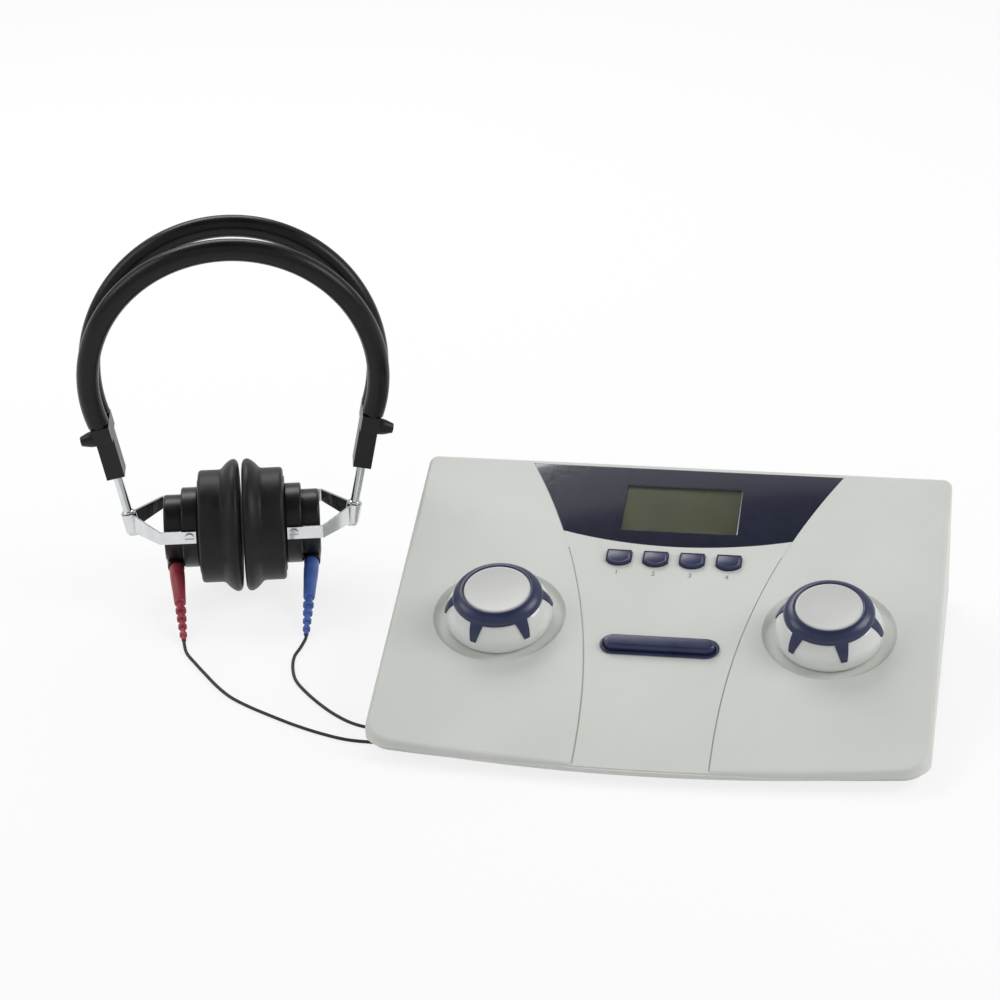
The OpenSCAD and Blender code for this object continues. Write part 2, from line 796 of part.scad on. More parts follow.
module knob_cap() {
  rotate_extrude($fn = 96) polygon([
    [0, seat_h + 0.05], [cap_r, seat_h + 0.05], [cap_r, knob_h - 0.5], [cap_r - 0.7, knob_h],
    [cap_r - 1.6, knob_h - 0.1], [0.6 * cap_r, knob_h - 0.7], [0.3 * cap_r, knob_h - 0.95],
    [0, knob_h - 1]
  ]);
}

// How far each knob stands turned, so that its tabs lie as they are set
knob_turn = 20;
module on_knob(side) {
  in_place() on_top(side * knob_x, knob_v, 0) rotate([0, 0, side * knob_turn]) children();
}

module shaft(side) {
  color(steel_grey) on_knob(side)
    translate([0, 0, 3 - board_depth]) cylinder(d = shaft_d, h = board_depth - 3 + shelf_h - 1);
}

encoder_h = board_depth - dish_depth - wall - 0.3;
module encoders() {
  color(steel_grey) in_place() for (x = [-1, 1]) on_top(x * knob_x, knob_v, -board_depth)
    difference() {
      union() {
        translate([-0.5 * encoder_w, -0.5 * encoder_w, 0]) cube([encoder_w, encoder_w, encoder_h]);
        cylinder(r = bushing_r, h = board_depth + bushing_top);
      }
      translate([0, 0, 2]) cylinder(d = shaft_d + 2 * running, h = board_depth);
    }
}

// ---------- rear panel ----------

inlet_bore_r = 2.8;
panel_y = rear_in_y - rear_t;
rocker_pin_d = 2.4;
rocker_depth = 12;
rocker_y = panel_y + 1;
rim_top = joint_z + rim_lap;
socket_neck = 3.4;

module rear_panel() {
  color(case_black) in_place() difference() {
    translate([-0.5 * rear_w - rear_lap, panel_y, rim_top])
      cube([rear_w + 2 * rear_lap, rear_t, socket_z + 0.5 * rear_h + rear_lap - rim_top]);
    for (x = [-headset_socket_x, -response_socket_x])
      translate([x, 0, socket_z]) rotate([-90, 0, 0]) cylinder(r = socket_neck_r + 0.1, h = far);
    translate([inlet_x, 0, socket_z]) rotate([-90, 0, 0]) cylinder(r = 4.1, h = far);
    translate([rocker_x - 0.5 * rocker_w - 2.1, 0, socket_z - 0.5 * rocker_h - 2.1])
      cube([rocker_w + 4.2, far, rocker_h + 4.2]);
  }
}

socket_neck_r = 4.75;
module jack_socket(x) {
  translate([x, panel_y, socket_z]) difference() {
    union() {
      translate([-0.5 * socket_w, -socket_l, -0.5 * socket_w]) cube([socket_w, socket_l, socket_w]);
      rotate([-90, 0, 0]) cylinder(r = socket_neck_r, h = rear_t + socket_neck);
      translate([0, rear_t, 0]) rotate([-90, 0, 0]) cylinder(r = 7.6, h = 2.4, $fn = 6);
    }
    translate([0, rear_t + 4, 0]) rotate([90, 0, 0]) cylinder(d = jack_bore, h = jack_l + 3);
  }
}

module headset_socket() {
  color(steel_grey) in_place() jack_socket(-headset_socket_x);
}

module response_socket() {
  color(steel_grey) in_place() jack_socket(-response_socket_x);
}

module power_inlet() {
  color(case_black) in_place() translate([inlet_x, panel_y, socket_z]) {
    difference() {
      union() {
        translate([-6, -14, main_board_z - socket_z]) cube([12, 14, socket_z - main_board_z + 6]);
        rotate([-90, 0, 0]) cylinder(r = 4, h = rear_t + 1);
      }
      translate([0, rear_t + 2, 0]) rotate([90, 0, 0]) cylinder(r = inlet_bore_r, h = 12);
    }
    translate([0, -9.5, 0]) rotate([-90, 0, 0]) cylinder(d = 2, h = 10.5);
  }
}

module rocker_housing() {
  color(case_black) in_place() translate([rocker_x, panel_y, socket_z]) difference() {
    union() {
      translate([-0.5 * rocker_w - 2, -rocker_depth, -0.5 * rocker_h - 2])
        cube([rocker_w + 4, rocker_depth + rear_t, rocker_h + 4]);
      translate([-0.5 * rocker_w - 3.2, rear_t, -0.5 * rocker_h - 3.2])
        cube([rocker_w + 6.4, 1.4, rocker_h + 6.4]);
    }
    translate([-0.5 * rocker_w - 0.4, 1.5 - rocker_depth, -0.5 * rocker_h - 0.6])
      cube([rocker_w + 0.8, far, rocker_h + 1.2]);
    translate([0, rocker_y - panel_y, 0]) rotate([0, 90, 0])
      cylinder(d = rocker_pin_d + 2 * running, h = rocker_w + 2.6, center = true);
  }
}

// The rocker rests at off, with its lower end out
module power_rocker() {
  color(rubber_black) in_place() translate([rocker_x, rocker_y, socket_z])
    rotate([rocker_tilt, 0, 0]) {
      rotate([90, 0, 90]) translate([0, 0, -0.5 * rocker_w]) linear_extrude(rocker_w)
        polygon([
          [2.4, -0.5 * rocker_h], [1.2, 0], [2.4, 0.5 * rocker_h],
          [-1.5, 0.5 * rocker_h - 0.3], [-5.5, 2.5], [-5.5, -2.5], [-1.5, 0.3 - 0.5 * rocker_h]
        ]);
      rotate([0, 90, 0]) cylinder(d = rocker_pin_d, h = rocker_w + 2.2, center = true);
    }
}

// ---------- headset bands ----------

// dir is -1 for the front band and 1 for the rear band
module on_band(dir) {
  in_headset() translate([0, dir * band_gap, band_z - band_r * sin(band_under)])
    rotate([-dir * band_splay, 0, 0])
      translate([0, 0, band_r * sin(band_under)]) rotate([90, 0, 0]) children();
}

module band_arc(d, extra) {
  sweep = 180 + 2 * (band_under + extra);
  rotate([0, 0, -band_under - extra]) rotate_extrude(angle = sweep, $fn = 96)
    translate([band_r, 0]) circle(d = d, $fn = 32);
}

module band(dir) {
  color(rubber_black) on_band(dir) difference() {
    band_arc(band_d, 0);
    band_arc(wire_d + 0.1, 1);
  }
}

wire_tail_turn = wire_tail / band_r * 180 / PI;
module band_wires() {
  color(steel_grey) for (dir = [-1, 1]) on_band(dir) band_arc(wire_d, wire_tail_turn);
}

head_w = 2 * band_gap + band_d;
head_h = 9;

module end_blocks() {
  color(case_black) difference() {
    for (side = [-1, 1]) on_side(side) on_rod() {
      difference() {
        union() {
          translate([-0.5 * block_t, -0.5 * block_w, block_from])
            cube([block_t, block_w, block_l - head_h + 1]);
          translate([-0.5 * block_t, -0.5 * head_w, block_tail - head_h - 3.2])
            cube([block_t, head_w, head_h]);
        }
        translate([0, 0, block_from - 1])
          cylinder(d = rod_d + 2 * running, h = rod_in + rod_travel + 2);
        translate([0, 0, block_from + thumb_up]) rotate([0, 90, 0])
          cylinder(d = 4.1, h = far);
      }
    }
    for (dir = [-1, 1]) on_band(dir) {
      band_arc(wire_d + 0.1, wire_tail_turn + 0.4);
      band_arc(band_d + 0.1, 0);
    }
  }
}

module thumb_screw(side) {
  color(case_black) on_side(side) on_rod() translate([0, 0, block_from + thumb_up])
    rotate([0, 90, 0]) {
      translate([0, 0, 0.5 * rod_d + seat]) cylinder(d = 4, h = 0.5 * block_t - 0.5 * rod_d);
      translate([0, 0, 0.5 * block_t + seat]) rotate_extrude() polygon([
        [0, 0], [0.32 * thumb_d, 0], [0.3 * thumb_d, 0.35 * thumb_l], [0.46 * thumb_d, 0.7 * thumb_l],
        [0.5 * thumb_d, 0.85 * thumb_l], [thumb_tip_r, thumb_l - seat], [0, thumb_l - seat]
      ]);
    }
}

// ---------- rods and yokes ----------

module rod(side) {
  color(chrome_grey) on_side(side) on_rod() {
    translate([0, 0, -0.5 * knuckle_h - seat - 1]) cylinder(d = rod_d, h = 1 + seat
      + 0.5 * knuckle_h + block_from + rod_in);
    translate([0, 0, -0.5 * knuckle_h - seat - 1.6]) cylinder(d = rod_d + 2, h = 1.6);
    translate([0, 0, 0.5 * knuckle_h + seat]) cylinder(d = rod_d + 1.6, h = 1);
  }
}

arm_from = body_end + 1.6;
arm_bend = back_end + 1.5;
arm_mid = arm_in + 0.5 * strip_t;

// A strip of metal on edge, between two points of the plan
module strip(a, b) {
  hull() for (p = [a, b]) translate([p[0], p[1], 0])
    cylinder(d = strip_t, h = 2 * strip_h, center = true, $fn = 12);
}

module yoke(side) {
  color(chrome_grey) on_side(side) difference() {
    union() {
      intersection() {
        translate([0, 0, pivot_z]) union() for (dir = [-1, 1]) {
          translate([arm_from, dir > 0 ? arm_in : -arm_in - strip_t, -strip_h])
            cube([arm_bend - arm_from, strip_t, 2 * strip_h]);
          strip([arm_bend, dir * arm_mid], [knuckle_x - 1.5, dir * 3]);
        }
        translate([0, far / 2, pivot_z]) rotate([90, 0, 0]) linear_extrude(far) polygon([
          [arm_from - 1, -0.5 * strip_h], [arm_bend, -0.5 * strip_h],
          [knuckle_x - 2, -0.46 * knuckle_h], [knuckle_x + 2, -0.46 * knuckle_h],
          [knuckle_x + 2, 0.46 * knuckle_h], [knuckle_x - 2, 0.46 * knuckle_h],
          [arm_bend, 0.5 * strip_h], [arm_from - 1, 0.5 * strip_h]
        ]);
      }
      on_rod() cylinder(d = knuckle_d, h = knuckle_h, center = true);
    }
    on_rod() cylinder(d = rod_d + 2 * running, h = 4 * knuckle_h, center = true);
    translate([pivot_x, 0, pivot_z]) rotate([90, 0, 0])
      cylinder(d = pivot_d + 2 * running, h = far, center = true);
  }
}

// ---------- earphones ----------

module ear_cushion(side) {
  color(rubber_black) on_side(side) on_ear_axis() rotate_extrude($fn = 96) polygon([
    [ear_hole_r, face_gap + 5.4],
    [ear_hole_r + 1.5, face_gap + 3.4],
    [0.5 * lip_r, face_gap + 1.6],
    [0.66 * lip_r, face_gap + 0.4],
    [0.8 * lip_r, face_gap],
    [lip_r - 3.2, face_gap + 0.5],
    [lip_r - 1.2, face_gap + 1.8],
    [lip_r - 0.2, face_gap + 3.8],
    [lip_r, lip_widest],
    [lip_r - 0.6, lip_end - 1.2],
    [lip_r - 2.4, lip_end],
    [body_r + 0.4, lip_end + 0.6],
    [body_r, lip_end + 2],
    [body_r, body_end - 1.4],
    [body_r - 1.4, body_end],
    [driver_r + 2.2, body_end],
    [driver_r + 2.2, face_gap + 7.4],
    [ear_hole_r, face_gap + 7.4]
  ]);
}

// The case closes the cushion's back, and carries the bosses for the pivot screws
driver_r = 24;
grille_at = face_gap + 7.7;
module ear_case(side) {
  color(case_black) on_side(side) difference() {
    union() {
      on_ear_axis() rotate_extrude($fn = 96) polygon([
        [ear_hole_r - 1, grille_at], [driver_r + 2, grille_at], [driver_r + 2, body_end - 1],
        [driver_r + 2, body_end + 0.6], [case_r - 0.4, body_end + 0.6],
        [case_r, body_end + 1.4], [case_r, case_end - 0.8],
        [case_r - 0.8, case_end], [0, case_end], [0, case_end - 2], [case_r - 2, case_end - 2],
        [case_r - 2, body_end - 1.4], [driver_r, body_end - 1.4], [driver_r, grille_at + 1.6],
        [ear_hole_r - 1, grille_at + 1.6]
      ]);
      difference() {
        translate([pivot_x, 0, pivot_z]) rotate([90, 0, 0])
          cylinder(d = pivot_head_d + 1.6, h = 2 * (arm_in - seat), center = true);
        on_ear_axis() cylinder(r = case_r - 4, h = far);
      }
    }
    translate([pivot_x, 0, pivot_z]) rotate([90, 0, 0])
      cylinder(d = pivot_d + 0.04, h = far, center = true);
  }
}

module ear_driver(side) {
  color(metal_gold) on_side(side) on_ear_axis() {
    translate([0, 0, grille_at + 1.8]) cylinder(r = driver_r - 0.2, h = 3);
    translate([0, 0, grille_at + 4.8 - eps]) cylinder(r = 0.55 * driver_r, h = case_end - grille_at - 7);
  }
}

boot_stub_in = 11;
module ear_back(side) {
  color(case_black) on_side(side) {
    difference() {
      union() {
        on_ear_axis() rotate_extrude($fn = 96) polygon([
          [0, case_end + 0.05], [back_r, case_end + 0.05], [back_r, back_end - 1.4],
          [back_r - 1.4, back_end], [0.8 * back_r, back_end], [0.8 * back_r, back_end - 0.5],
          [0, back_end - 0.5]
        ]);
        on_boot() translate([0, 0, -boot_stub_in]) cylinder(d = boot_d + 1.2, h = boot_stub_in);
      }
      // The case's outer face stays clear
      on_ear_axis() translate([0, 0, case_end - far]) cylinder(r = far, h = far + 0.05);
    }
  }
}

module ear_pivots(side) {
  color(chrome_grey) on_side(side) for (dir = [-1, 1])
    translate([pivot_x, 0, pivot_z]) rotate([dir * 90, 0, 0]) {
      translate([0, 0, arm_in + strip_t + seat]) difference() {
        cylinder(d = pivot_head_d, h = 1.2);
        translate([0, 0, 0.7]) cube([pivot_head_d + 1, 0.8, 1.2], center = true);
      }
      translate([0, 0, case_r - 5]) cylinder(d = pivot_d, h = 5 + 1 + strip_t + seat + eps);
    }
}

// ---------- boots and leads ----------

boot_l = boot_body_l + boot_tail_l;
module boot(side, tint) {
  pitch = boot_tail_l / (boot_ribs + 0.6);
  color(tint) on_side(side) on_boot() difference() {
    union() {
      rotate_extrude($fn = 48) polygon([
        [0, 0], [0.46 * boot_d, 0], [0.5 * boot_d, 0.6], [0.5 * boot_d, 8],
        [0.39 * boot_d, boot_body_l - 1], [0.33 * boot_d, boot_body_l],
        [0.19 * boot_d, boot_body_l + 0.4], [0.75 * lead_d, boot_l], [0, boot_l]
      ]);
      for (k = [0:boot_ribs - 1])
        translate([0, 0, boot_body_l + pitch * (k + 0.6)])
          cylinder(r = 0.36 * boot_d - 0.3 * k, h = 0.55 * pitch);
    }
    translate([0, 0, -1]) cylinder(d = lead_d + 0.2, h = boot_body_l);
  }
}

// Points of each lead's route on the desk, from the console's middle
red_route = [
  [-261.2, 3.8, 1.4], [-260.4, 1, 0.9], [-256.5, -9, 0.9], [-249, -20, 0.9], [-241, -31, 0.9],
  [-232, -43, 0.9],
  [-222, -54, 0.9], [-210, -63, 0.9], [-197, -71, 0.9], [-183, -79, 0.9], [-168, -86, 0.9],
  [-153, -91, 0.9], [-138, -92, 0.9], [-122, -91, 0.9], [-105, -87, 0.9], [-88, -80, 0.9],
  [-72, -70, 0.9], [-57, -57, 0.9], [-43, -42, 0.9], [-31, -25, 0.9], [-21, -7, 0.9],
  [-13, 12, 0.9], [-8, 31, 0.9], [-5, 50, 0.9], [-4, 70, 0.9], [-4, 90, 0.9],
  [-4, 108, 0.9], [-4, 116, 1.4], [-4, 121, 2.2], [-4, 124, 2.2]
];
blue_route = [
  [-197.2, 18, 1.4], [-196.9, 15, 0.9], [-197.4, 5, 0.9], [-198.5, -6, 0.9], [-196.5, -19, 0.9],
  [-192, -32, 0.9],
  [-184, -44, 0.9], [-174, -56, 0.9], [-164, -66, 0.9], [-153, -74, 0.9], [-141, -78, 0.9],
  [-127, -79, 0.9], [-112, -76, 0.9], [-97, -69, 0.9], [-83, -59, 0.9], [-69, -46, 0.9],
  [-56, -31, 0.9], [-44, -14, 0.9], [-33, 4, 0.9], [-24, 22, 0.9], [-16, 41, 0.9],
  [-11, 60, 0.9], [-9, 78, 0.9], [-8, 95, 0.9], [-8, 108, 0.9], [-8, 116, 1.4],
  [-8, 121, 2.2], [-8, 124, 2.2]
];
// From the splitter to the coil, and from the coil up into the plug
trunk_in_route = [
  [-6, 139, 2.2], [-6, 142, 2.2], [-6, 150, 1.8], [-6, 158, 1.8], [-6, 162.4, 1.8]
];
trunk_out_route = [
  [-70, 162.4, 5.9], [-70, 159, 5.9], [-70, 156, 6.7], [-70, 152.5, 8.7], [-70, 150, 11.8],
  [-70, 148.5, 16], [-70, 147, 20.2], [-70, 144.5, 23.3], [-70, 141, 25.3], [-70, 137, 26],
  [-70, 132, 26]
];
splitter_at = [-6, 124];
splitter_l = 15;
splitter_h = 4.4;

module tube(route, d, sides) {
  n = len(route);
  dirs = [for (i = [0:n - 1]) unit(route[min(i + 1, n - 1)] - route[max(i - 1, 0)])];
  points = [for (i = [0:n - 1]) let (
    t = dirs[i],
    across = unit(cross(t, abs(t[2]) > 0.9 ? [1, 0, 0] : [0, 0, 1])),
    up = cross(across, t)
  ) for (k = [0:sides - 1]) let (a = 360 * (k + 0.5) / sides)
    route[i] + 0.5 * d * (cos(a) * across + sin(a) * up)];
  faces = concat(
    [[for (k = [0:sides - 1]) k]],
    [for (i = [0:n - 2], k = [0:sides - 1]) let (a = i * sides + k, b = i * sides + (k + 1) % sides)
      [a, a + sides, b + sides]],
    [for (i = [0:n - 2], k = [0:sides - 1]) let (a = i * sides + k, b = i * sides + (k + 1) % sides)
      [a, b + sides, b]],
    [[for (k = [sides - 1:-1:0]) (n - 1) * sides + k]]
  );
  polyhedron(points, faces);
}

function unit(v) = v / norm(v);

module red_lead() {
  color(rubber_black) in_place() tube(red_route, lead_d, 8);
}

module blue_lead() {
  color(rubber_black) in_place() tube(blue_route, lead_d, 8);
}

module lead_splitter() {
  color(rubber_black) in_place()
    translate([splitter_at[0], splitter_at[1], 0]) intersection() {
      translate([0, 0, 0.5 * splitter_h]) rotate([-90, 0, 0])
        cylinder(r = 1.1 * splitter_h, h = splitter_l);
      translate([-1.2 * splitter_h, 0, 0]) cube([2.4 * splitter_h, splitter_l, splitter_h]);
    }
}

// The coil winds in along its lower layer and out again along its upper one
coil_all = coil_turns + 0.5;
coil_pitch = trunk_d + coil_gap;
coil_at = [splitter_at[0] - coil_r, trunk_in_route[len(trunk_in_route) - 1][1] + trunk_d];
coil_low = 0.5 * trunk_d;
coil_rings = 24;

// How far the turn s has climbed, from 0 to 1, in the half turn where the spiral reverses
function climb(s) = 0.5 - 0.5 * cos(180 * min(max(2 * (s - 0.5 * coil_all) + 0.5, 0), 1));
function coil_point(s) =
  let (r = coil_r - coil_pitch * min(s, coil_all - s))
  [
    coil_at[0] + r * cos(360 * s),
    coil_at[1] + r * sin(360 * s),
    coil_low + coil_pitch * climb(s)
  ];
coil_route = concat(
  [coil_point(0) - [0, trunk_d, 0]],
  [for (i = [0:coil_rings * coil_all]) coil_point(i / coil_rings)],
  [coil_point(coil_all) - [0, trunk_d, 0]]
);
echo("Least gap between the turns of the coil, in mm:", min([
  for (i = [0:len(coil_route) - 1]) for (j = [i + 0.5 * coil_rings:1:len(coil_route) - 1])
    norm(coil_route[i] - coil_route[j])
]) - trunk_d);

module trunk_coil() {
  color(rubber_black) in_place() tube(coil_route, trunk_d, 6);
}

module trunk_cord() {
  color(rubber_black) in_place() {
    tube(trunk_in_route, trunk_d, 8);
    tube(trunk_out_route, trunk_d, 8);
  }
}

plug_gap = 0.2;
plug_l = trunk_out_route[len(trunk_out_route) - 1][1] - panel_y - rear_t - socket_neck - plug_gap;
module jack_plug() {
  color(case_black) in_place()
    translate([-headset_socket_x, panel_y + rear_t + socket_neck + plug_gap, socket_z]) {
      rotate([90, 0, 0]) rotate_extrude() polygon([
        [0, 0], [0.5 * jack_d, 0], [0.5 * jack_d, jack_l - 13], [0.36 * jack_d, jack_l - 12],
        [0.36 * jack_d, jack_l - 9], [0.5 * jack_d, jack_l - 7.5], [0.3 * jack_d, jack_l - 4],
        [0, jack_l - 4]
      ]);
      rotate([-90, 0, 0]) rotate_extrude() polygon([
        [0, 0], [5.6, 0], [6, 0.6], [6, 12], [5.2, 13.5], [4.4, 15], [4.1, 16],
        [0.6 * trunk_d, plug_l], [0, plug_l]
      ]);
    }
}

// ---------- nodes ----------

top_shell();
base_shell();
rear_panel();
feet();
housing_screws();
display_window();
lcd_cell();
panel_board();
main_board();
board_screws();
key_switches();
tone_bezel();
tone_switches();
encoders();
headset_socket();
response_socket();
power_inlet();
rocker_housing();
key(0);  // key_1
key(1);  // key_2
key(2);  // key_3
key(3);  // key_4
tone_bar();
power_rocker();
color(cap_white) on_knob(-1) knob_body();  // left_knob
color(navy) on_knob(-1) knob_ring();  // left_ring
color(cap_white) on_knob(-1) knob_cap();  // left_cap
shaft(-1);  // left_shaft
color(cap_white) on_knob(1) knob_body();  // right_knob
color(navy) on_knob(1) knob_ring();  // right_ring
color(cap_white) on_knob(1) knob_cap();  // right_cap
shaft(1);  // right_shaft
band(-1);  // front_band
band(1);  // rear_band
band_wires();
end_blocks();
thumb_screw(-1);  // left_thumb_screw
rod(-1);  // left_rod
yoke(-1);  // left_yoke
ear_case(-1);  // left_case
ear_back(-1);  // left_back_cap
ear_cushion(-1);  // left_cushion
ear_driver(-1);  // left_driver
ear_pivots(-1);  // left_pivots
thumb_screw(1);  // right_thumb_screw
rod(1);  // right_rod
yoke(1);  // right_yoke
ear_case(1);  // right_case
ear_back(1);  // right_back_cap
ear_cushion(1);  // right_cushion
ear_driver(1);  // right_driver
ear_pivots(1);  // right_pivots
boot(-1, "#A23A4B");  // red_boot
boot(1, "#4464B4");  // blue_boot
red_lead();
blue_lead();
lead_splitter();
trunk_cord();
trunk_coil();
jack_plug();
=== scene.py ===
"""Looks of a desk audiometer with a twin-band headset.

Every piece is shaped in millimetres in the frame of the part that carries it, and then put in
place in metres by one of the frames below.
"""

import json
import math

import bpy
from mathutils import Matrix, Vector

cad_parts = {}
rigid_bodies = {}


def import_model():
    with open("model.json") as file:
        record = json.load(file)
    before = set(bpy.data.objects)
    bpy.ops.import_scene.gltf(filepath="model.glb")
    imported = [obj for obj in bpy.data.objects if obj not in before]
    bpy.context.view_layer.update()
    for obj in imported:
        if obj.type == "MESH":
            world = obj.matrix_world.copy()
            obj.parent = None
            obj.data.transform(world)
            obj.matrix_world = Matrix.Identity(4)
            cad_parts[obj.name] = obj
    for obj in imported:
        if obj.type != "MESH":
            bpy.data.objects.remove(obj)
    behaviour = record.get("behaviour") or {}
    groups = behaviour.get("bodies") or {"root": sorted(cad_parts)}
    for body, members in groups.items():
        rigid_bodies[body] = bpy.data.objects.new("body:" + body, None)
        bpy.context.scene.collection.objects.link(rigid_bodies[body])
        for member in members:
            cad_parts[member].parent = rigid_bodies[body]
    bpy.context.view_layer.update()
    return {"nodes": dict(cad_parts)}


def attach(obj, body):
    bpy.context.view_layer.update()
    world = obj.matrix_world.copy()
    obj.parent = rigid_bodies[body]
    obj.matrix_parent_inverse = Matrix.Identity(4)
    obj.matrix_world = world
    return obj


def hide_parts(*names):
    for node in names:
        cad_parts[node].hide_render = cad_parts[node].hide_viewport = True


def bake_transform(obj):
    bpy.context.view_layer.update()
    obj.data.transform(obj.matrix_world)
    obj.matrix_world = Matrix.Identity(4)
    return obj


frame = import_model()
nodes = frame["nodes"]


# ---------- frames of the parts ----------


def turn(degrees, axis):
    return Matrix.Rotation(math.radians(degrees), 4, axis)


def shift(x, y, z):
    return Matrix.Translation((x, y, z))


CONSOLE = shift(0.09388877, 0.00103328, 0) @ Matrix.Scale(0.001, 4)
# x across, y up the sloping face from its front corners, z out of it
TOP = CONSOLE @ shift(0, -105.5, 11) @ turn(16.2, "X")
KNOB_V = 94.5
HEADSET = CONSOLE @ shift(-244, 77.5, 0) @ turn(12.5, "Z")
SIDES = {"left": -1, "right": 1}


def on_side(side):
    """The headset's frame with x outwards at that ear"""
    return HEADSET @ Matrix.Diagonal((SIDES[side], 1, 1, 1))


def on_ear_axis(side):
    return on_side(side) @ shift(0, 0, 36.5) @ turn(90, "Y")


def on_rod(side):
    return on_side(side) @ shift(61, 0, 41.5) @ turn(11.5, "Y")


def on_boot(side):
    return on_side(side) @ shift(37.2, -12, 18.1) @ turn(-4.5, "Z") @ turn(106.5, "X")


def on_band(way):
    """way is -1 for the front band and 1 for the rear one"""
    drop = 78 * math.sin(math.radians(18.5))
    lift = HEADSET @ shift(0, way * 6.8, 128 - drop) @ turn(-way * 6.2, "X")
    return lift @ shift(0, 0, drop) @ turn(90, "X")


def on_knob(side):
    return TOP @ shift(SIDES[side] * 85.7, KNOB_V, 0) @ turn(SIDES[side] * 20, "Z")


# ---------- camera ----------


def set_camera():
    """Stands where the photographer stood, a little to the right and 25 degrees up"""
    data = bpy.data.cameras.new("camera")
    data.sensor_width = 36
    data.lens = 124.64
    data.clip_end = 50
    camera = bpy.data.objects.new("camera", data)
    bpy.context.scene.collection.objects.link(camera)
    right = Vector((0.98706, 0.15886, -0.02172)).normalized()
    up = Vector((-0.04851, 0.42495, 0.90391))
    up = (up - up.dot(right) * right).normalized()
    back = right.cross(up)
    place = Matrix((right, up, back)).transposed().to_4x4()
    place.translation = CONSOLE @ Vector((187.07, -1595.14, 861.04))
    camera.matrix_world = place
    bpy.context.scene.camera = camera


set_camera()


# ---------- materials ----------


def linear(code):
    """A colour written as on screen, turned into the light that it stands for"""
    parts = [int(code[i : i + 2], 16) / 255 for i in (1, 3, 5)]
    light = [c / 12.92 if c <= 0.04045 else ((c + 0.055) / 1.055) ** 2.4 for c in parts]
    return (*light, 1)


def add(tree, kind, **settings):
    """Adds a node. A setting is a property, a socket's value, or the socket that feeds it."""
    node = tree.nodes.new("ShaderNode" + kind)
    for name, value in settings.items():
        if hasattr(node, name) and name not in ("color", "scale"):
            setattr(node, name, value)
            continue
        socket = node.inputs[int(name[1:]) if name[1:].isdigit() else name.replace("_", " ")]
        if isinstance(value, bpy.types.NodeSocket):
            tree.links.new(value, socket)
        else:
            socket.default_value = value
    return node


def new_finish(name):
    """A material with its shader, and the place on the piece in metres"""
    material = bpy.data.materials.new(name)
    material.use_nodes = True
    tree = material.node_tree
    shader = tree.nodes["Principled BSDF"]
    place = add(tree, "TexCoord").outputs["Object"]
    return material, tree, shader, place


def grain(tree, place, size, **settings):
    """Cloudy noise whose lumps are about that many millimetres across"""
    return add(tree, "TexNoise", Vector=place, Scale=1000 / size, **settings).outputs["Fac"]


def between(tree, factor, low, high):
    """A value that goes from low to high as the factor goes from 0.3 to 0.7"""
    limits = dict(From_Min=0.3, From_Max=0.7, To_Min=low, To_Max=high)
    return add(tree, "MapRange", Value=factor, **limits).outputs["Result"]


def tinted(tree, factor, dark, light):
    """A colour between two, as the factor goes from 0.3 to 0.7"""
    ramp = add(tree, "ValToRGB", Fac=factor)
    ends = ramp.color_ramp.elements
    ends[0].position, ends[0].color = 0.3, linear(dark)
    ends[1].position, ends[1].color = 0.7, linear(light)
    return ramp.outputs["Color"]


def bumped(tree, shader, height, depth):
    """Lets a pattern stand out of the surface by that many millimetres"""
    bump = add(tree, "Bump", Height=height, Distance=depth / 1000, Strength=1.0)
    tree.links.new(bump.outputs["Normal"], shader.inputs["Normal"])


def moulded(name, dark, light, rough, texture, depth, patch=30):
    """Moulded plastic: a fine eroded texture, with slow changes of tone and gloss over it"""
    material, tree, shader, place = new_finish(name)
    slow = grain(tree, place, patch, Detail=3.0)
    fine = grain(tree, place, texture, Detail=2.0)
    tree.links.new(tinted(tree, slow, dark, light), shader.inputs["Base Color"])
    mixed = add(tree, "Math", operation="ADD", _0=slow, _1=fine).outputs["Value"]
    half = add(tree, "Math", operation="MULTIPLY", _0=mixed, _1=0.5).outputs["Value"]
    tree.links.new(between(tree, half, rough[0], rough[1]), shader.inputs["Roughness"])
    bumped(tree, shader, fine, depth)
    return material


def metal(name, dark, light, rough, along, depth=0.004):
    """Plated or turned metal: drawn marks along one axis and a faint cloud in the gloss"""
    material, tree, shader, place = new_finish(name)
    shader.inputs["Metallic"].default_value = 1
    stretch = add(tree, "Mapping", Vector=place, Scale=along).outputs["Vector"]
    marks = grain(tree, stretch, 0.6, Detail=4.0)
    cloud = grain(tree, place, 9, Detail=2.0)
    tree.links.new(tinted(tree, cloud, dark, light), shader.inputs["Base Color"])
    tree.links.new(between(tree, marks, rough[0], rough[1]), shader.inputs["Roughness"])
    bumped(tree, shader, marks, depth)
    return material


# The pale housing: a matt eroded texture that breaks up the light, with a faint warm and cool drift
housing = moulded("housing_plastic", "#D3D5CE", "#DADCD6", (0.40, 0.50), 0.45, 0.012, 60)
# Knob bodies: glossy white, so the softboxes draw bright sides on them
knob_white = moulded("knob_white", "#E2E3DF", "#E9E9E6", (0.10, 0.16), 2.5, 0.003)
knob_white.node_tree.nodes["Principled BSDF"].inputs["Coat Weight"].default_value = 0.5
knob_white.node_tree.nodes["Principled BSDF"].inputs["Coat Roughness"].default_value = 0.06
# Knob caps: the same white, but satin and a little greyer
cap_white = moulded("cap_white", "#CFCFCB", "#D6D6D3", (0.34, 0.42), 0.6, 0.006)
# Keys, the tone bar and the rings: navy with a soft shine
navy = moulded("navy_plastic", "#272D4C", "#2F3558", (0.26, 0.34), 0.5, 0.006, 12)
# Headset blocks and thumb screws: hard black with a satin texture
black_plastic = moulded("black_plastic", "#121213", "#19191B", (0.28, 0.40), 0.4, 0.010, 15)
# Earphone cases: slightly smoother black
case_black = moulded("case_black", "#131314", "#1A1A1B", (0.26, 0.36), 0.5, 0.008, 18)
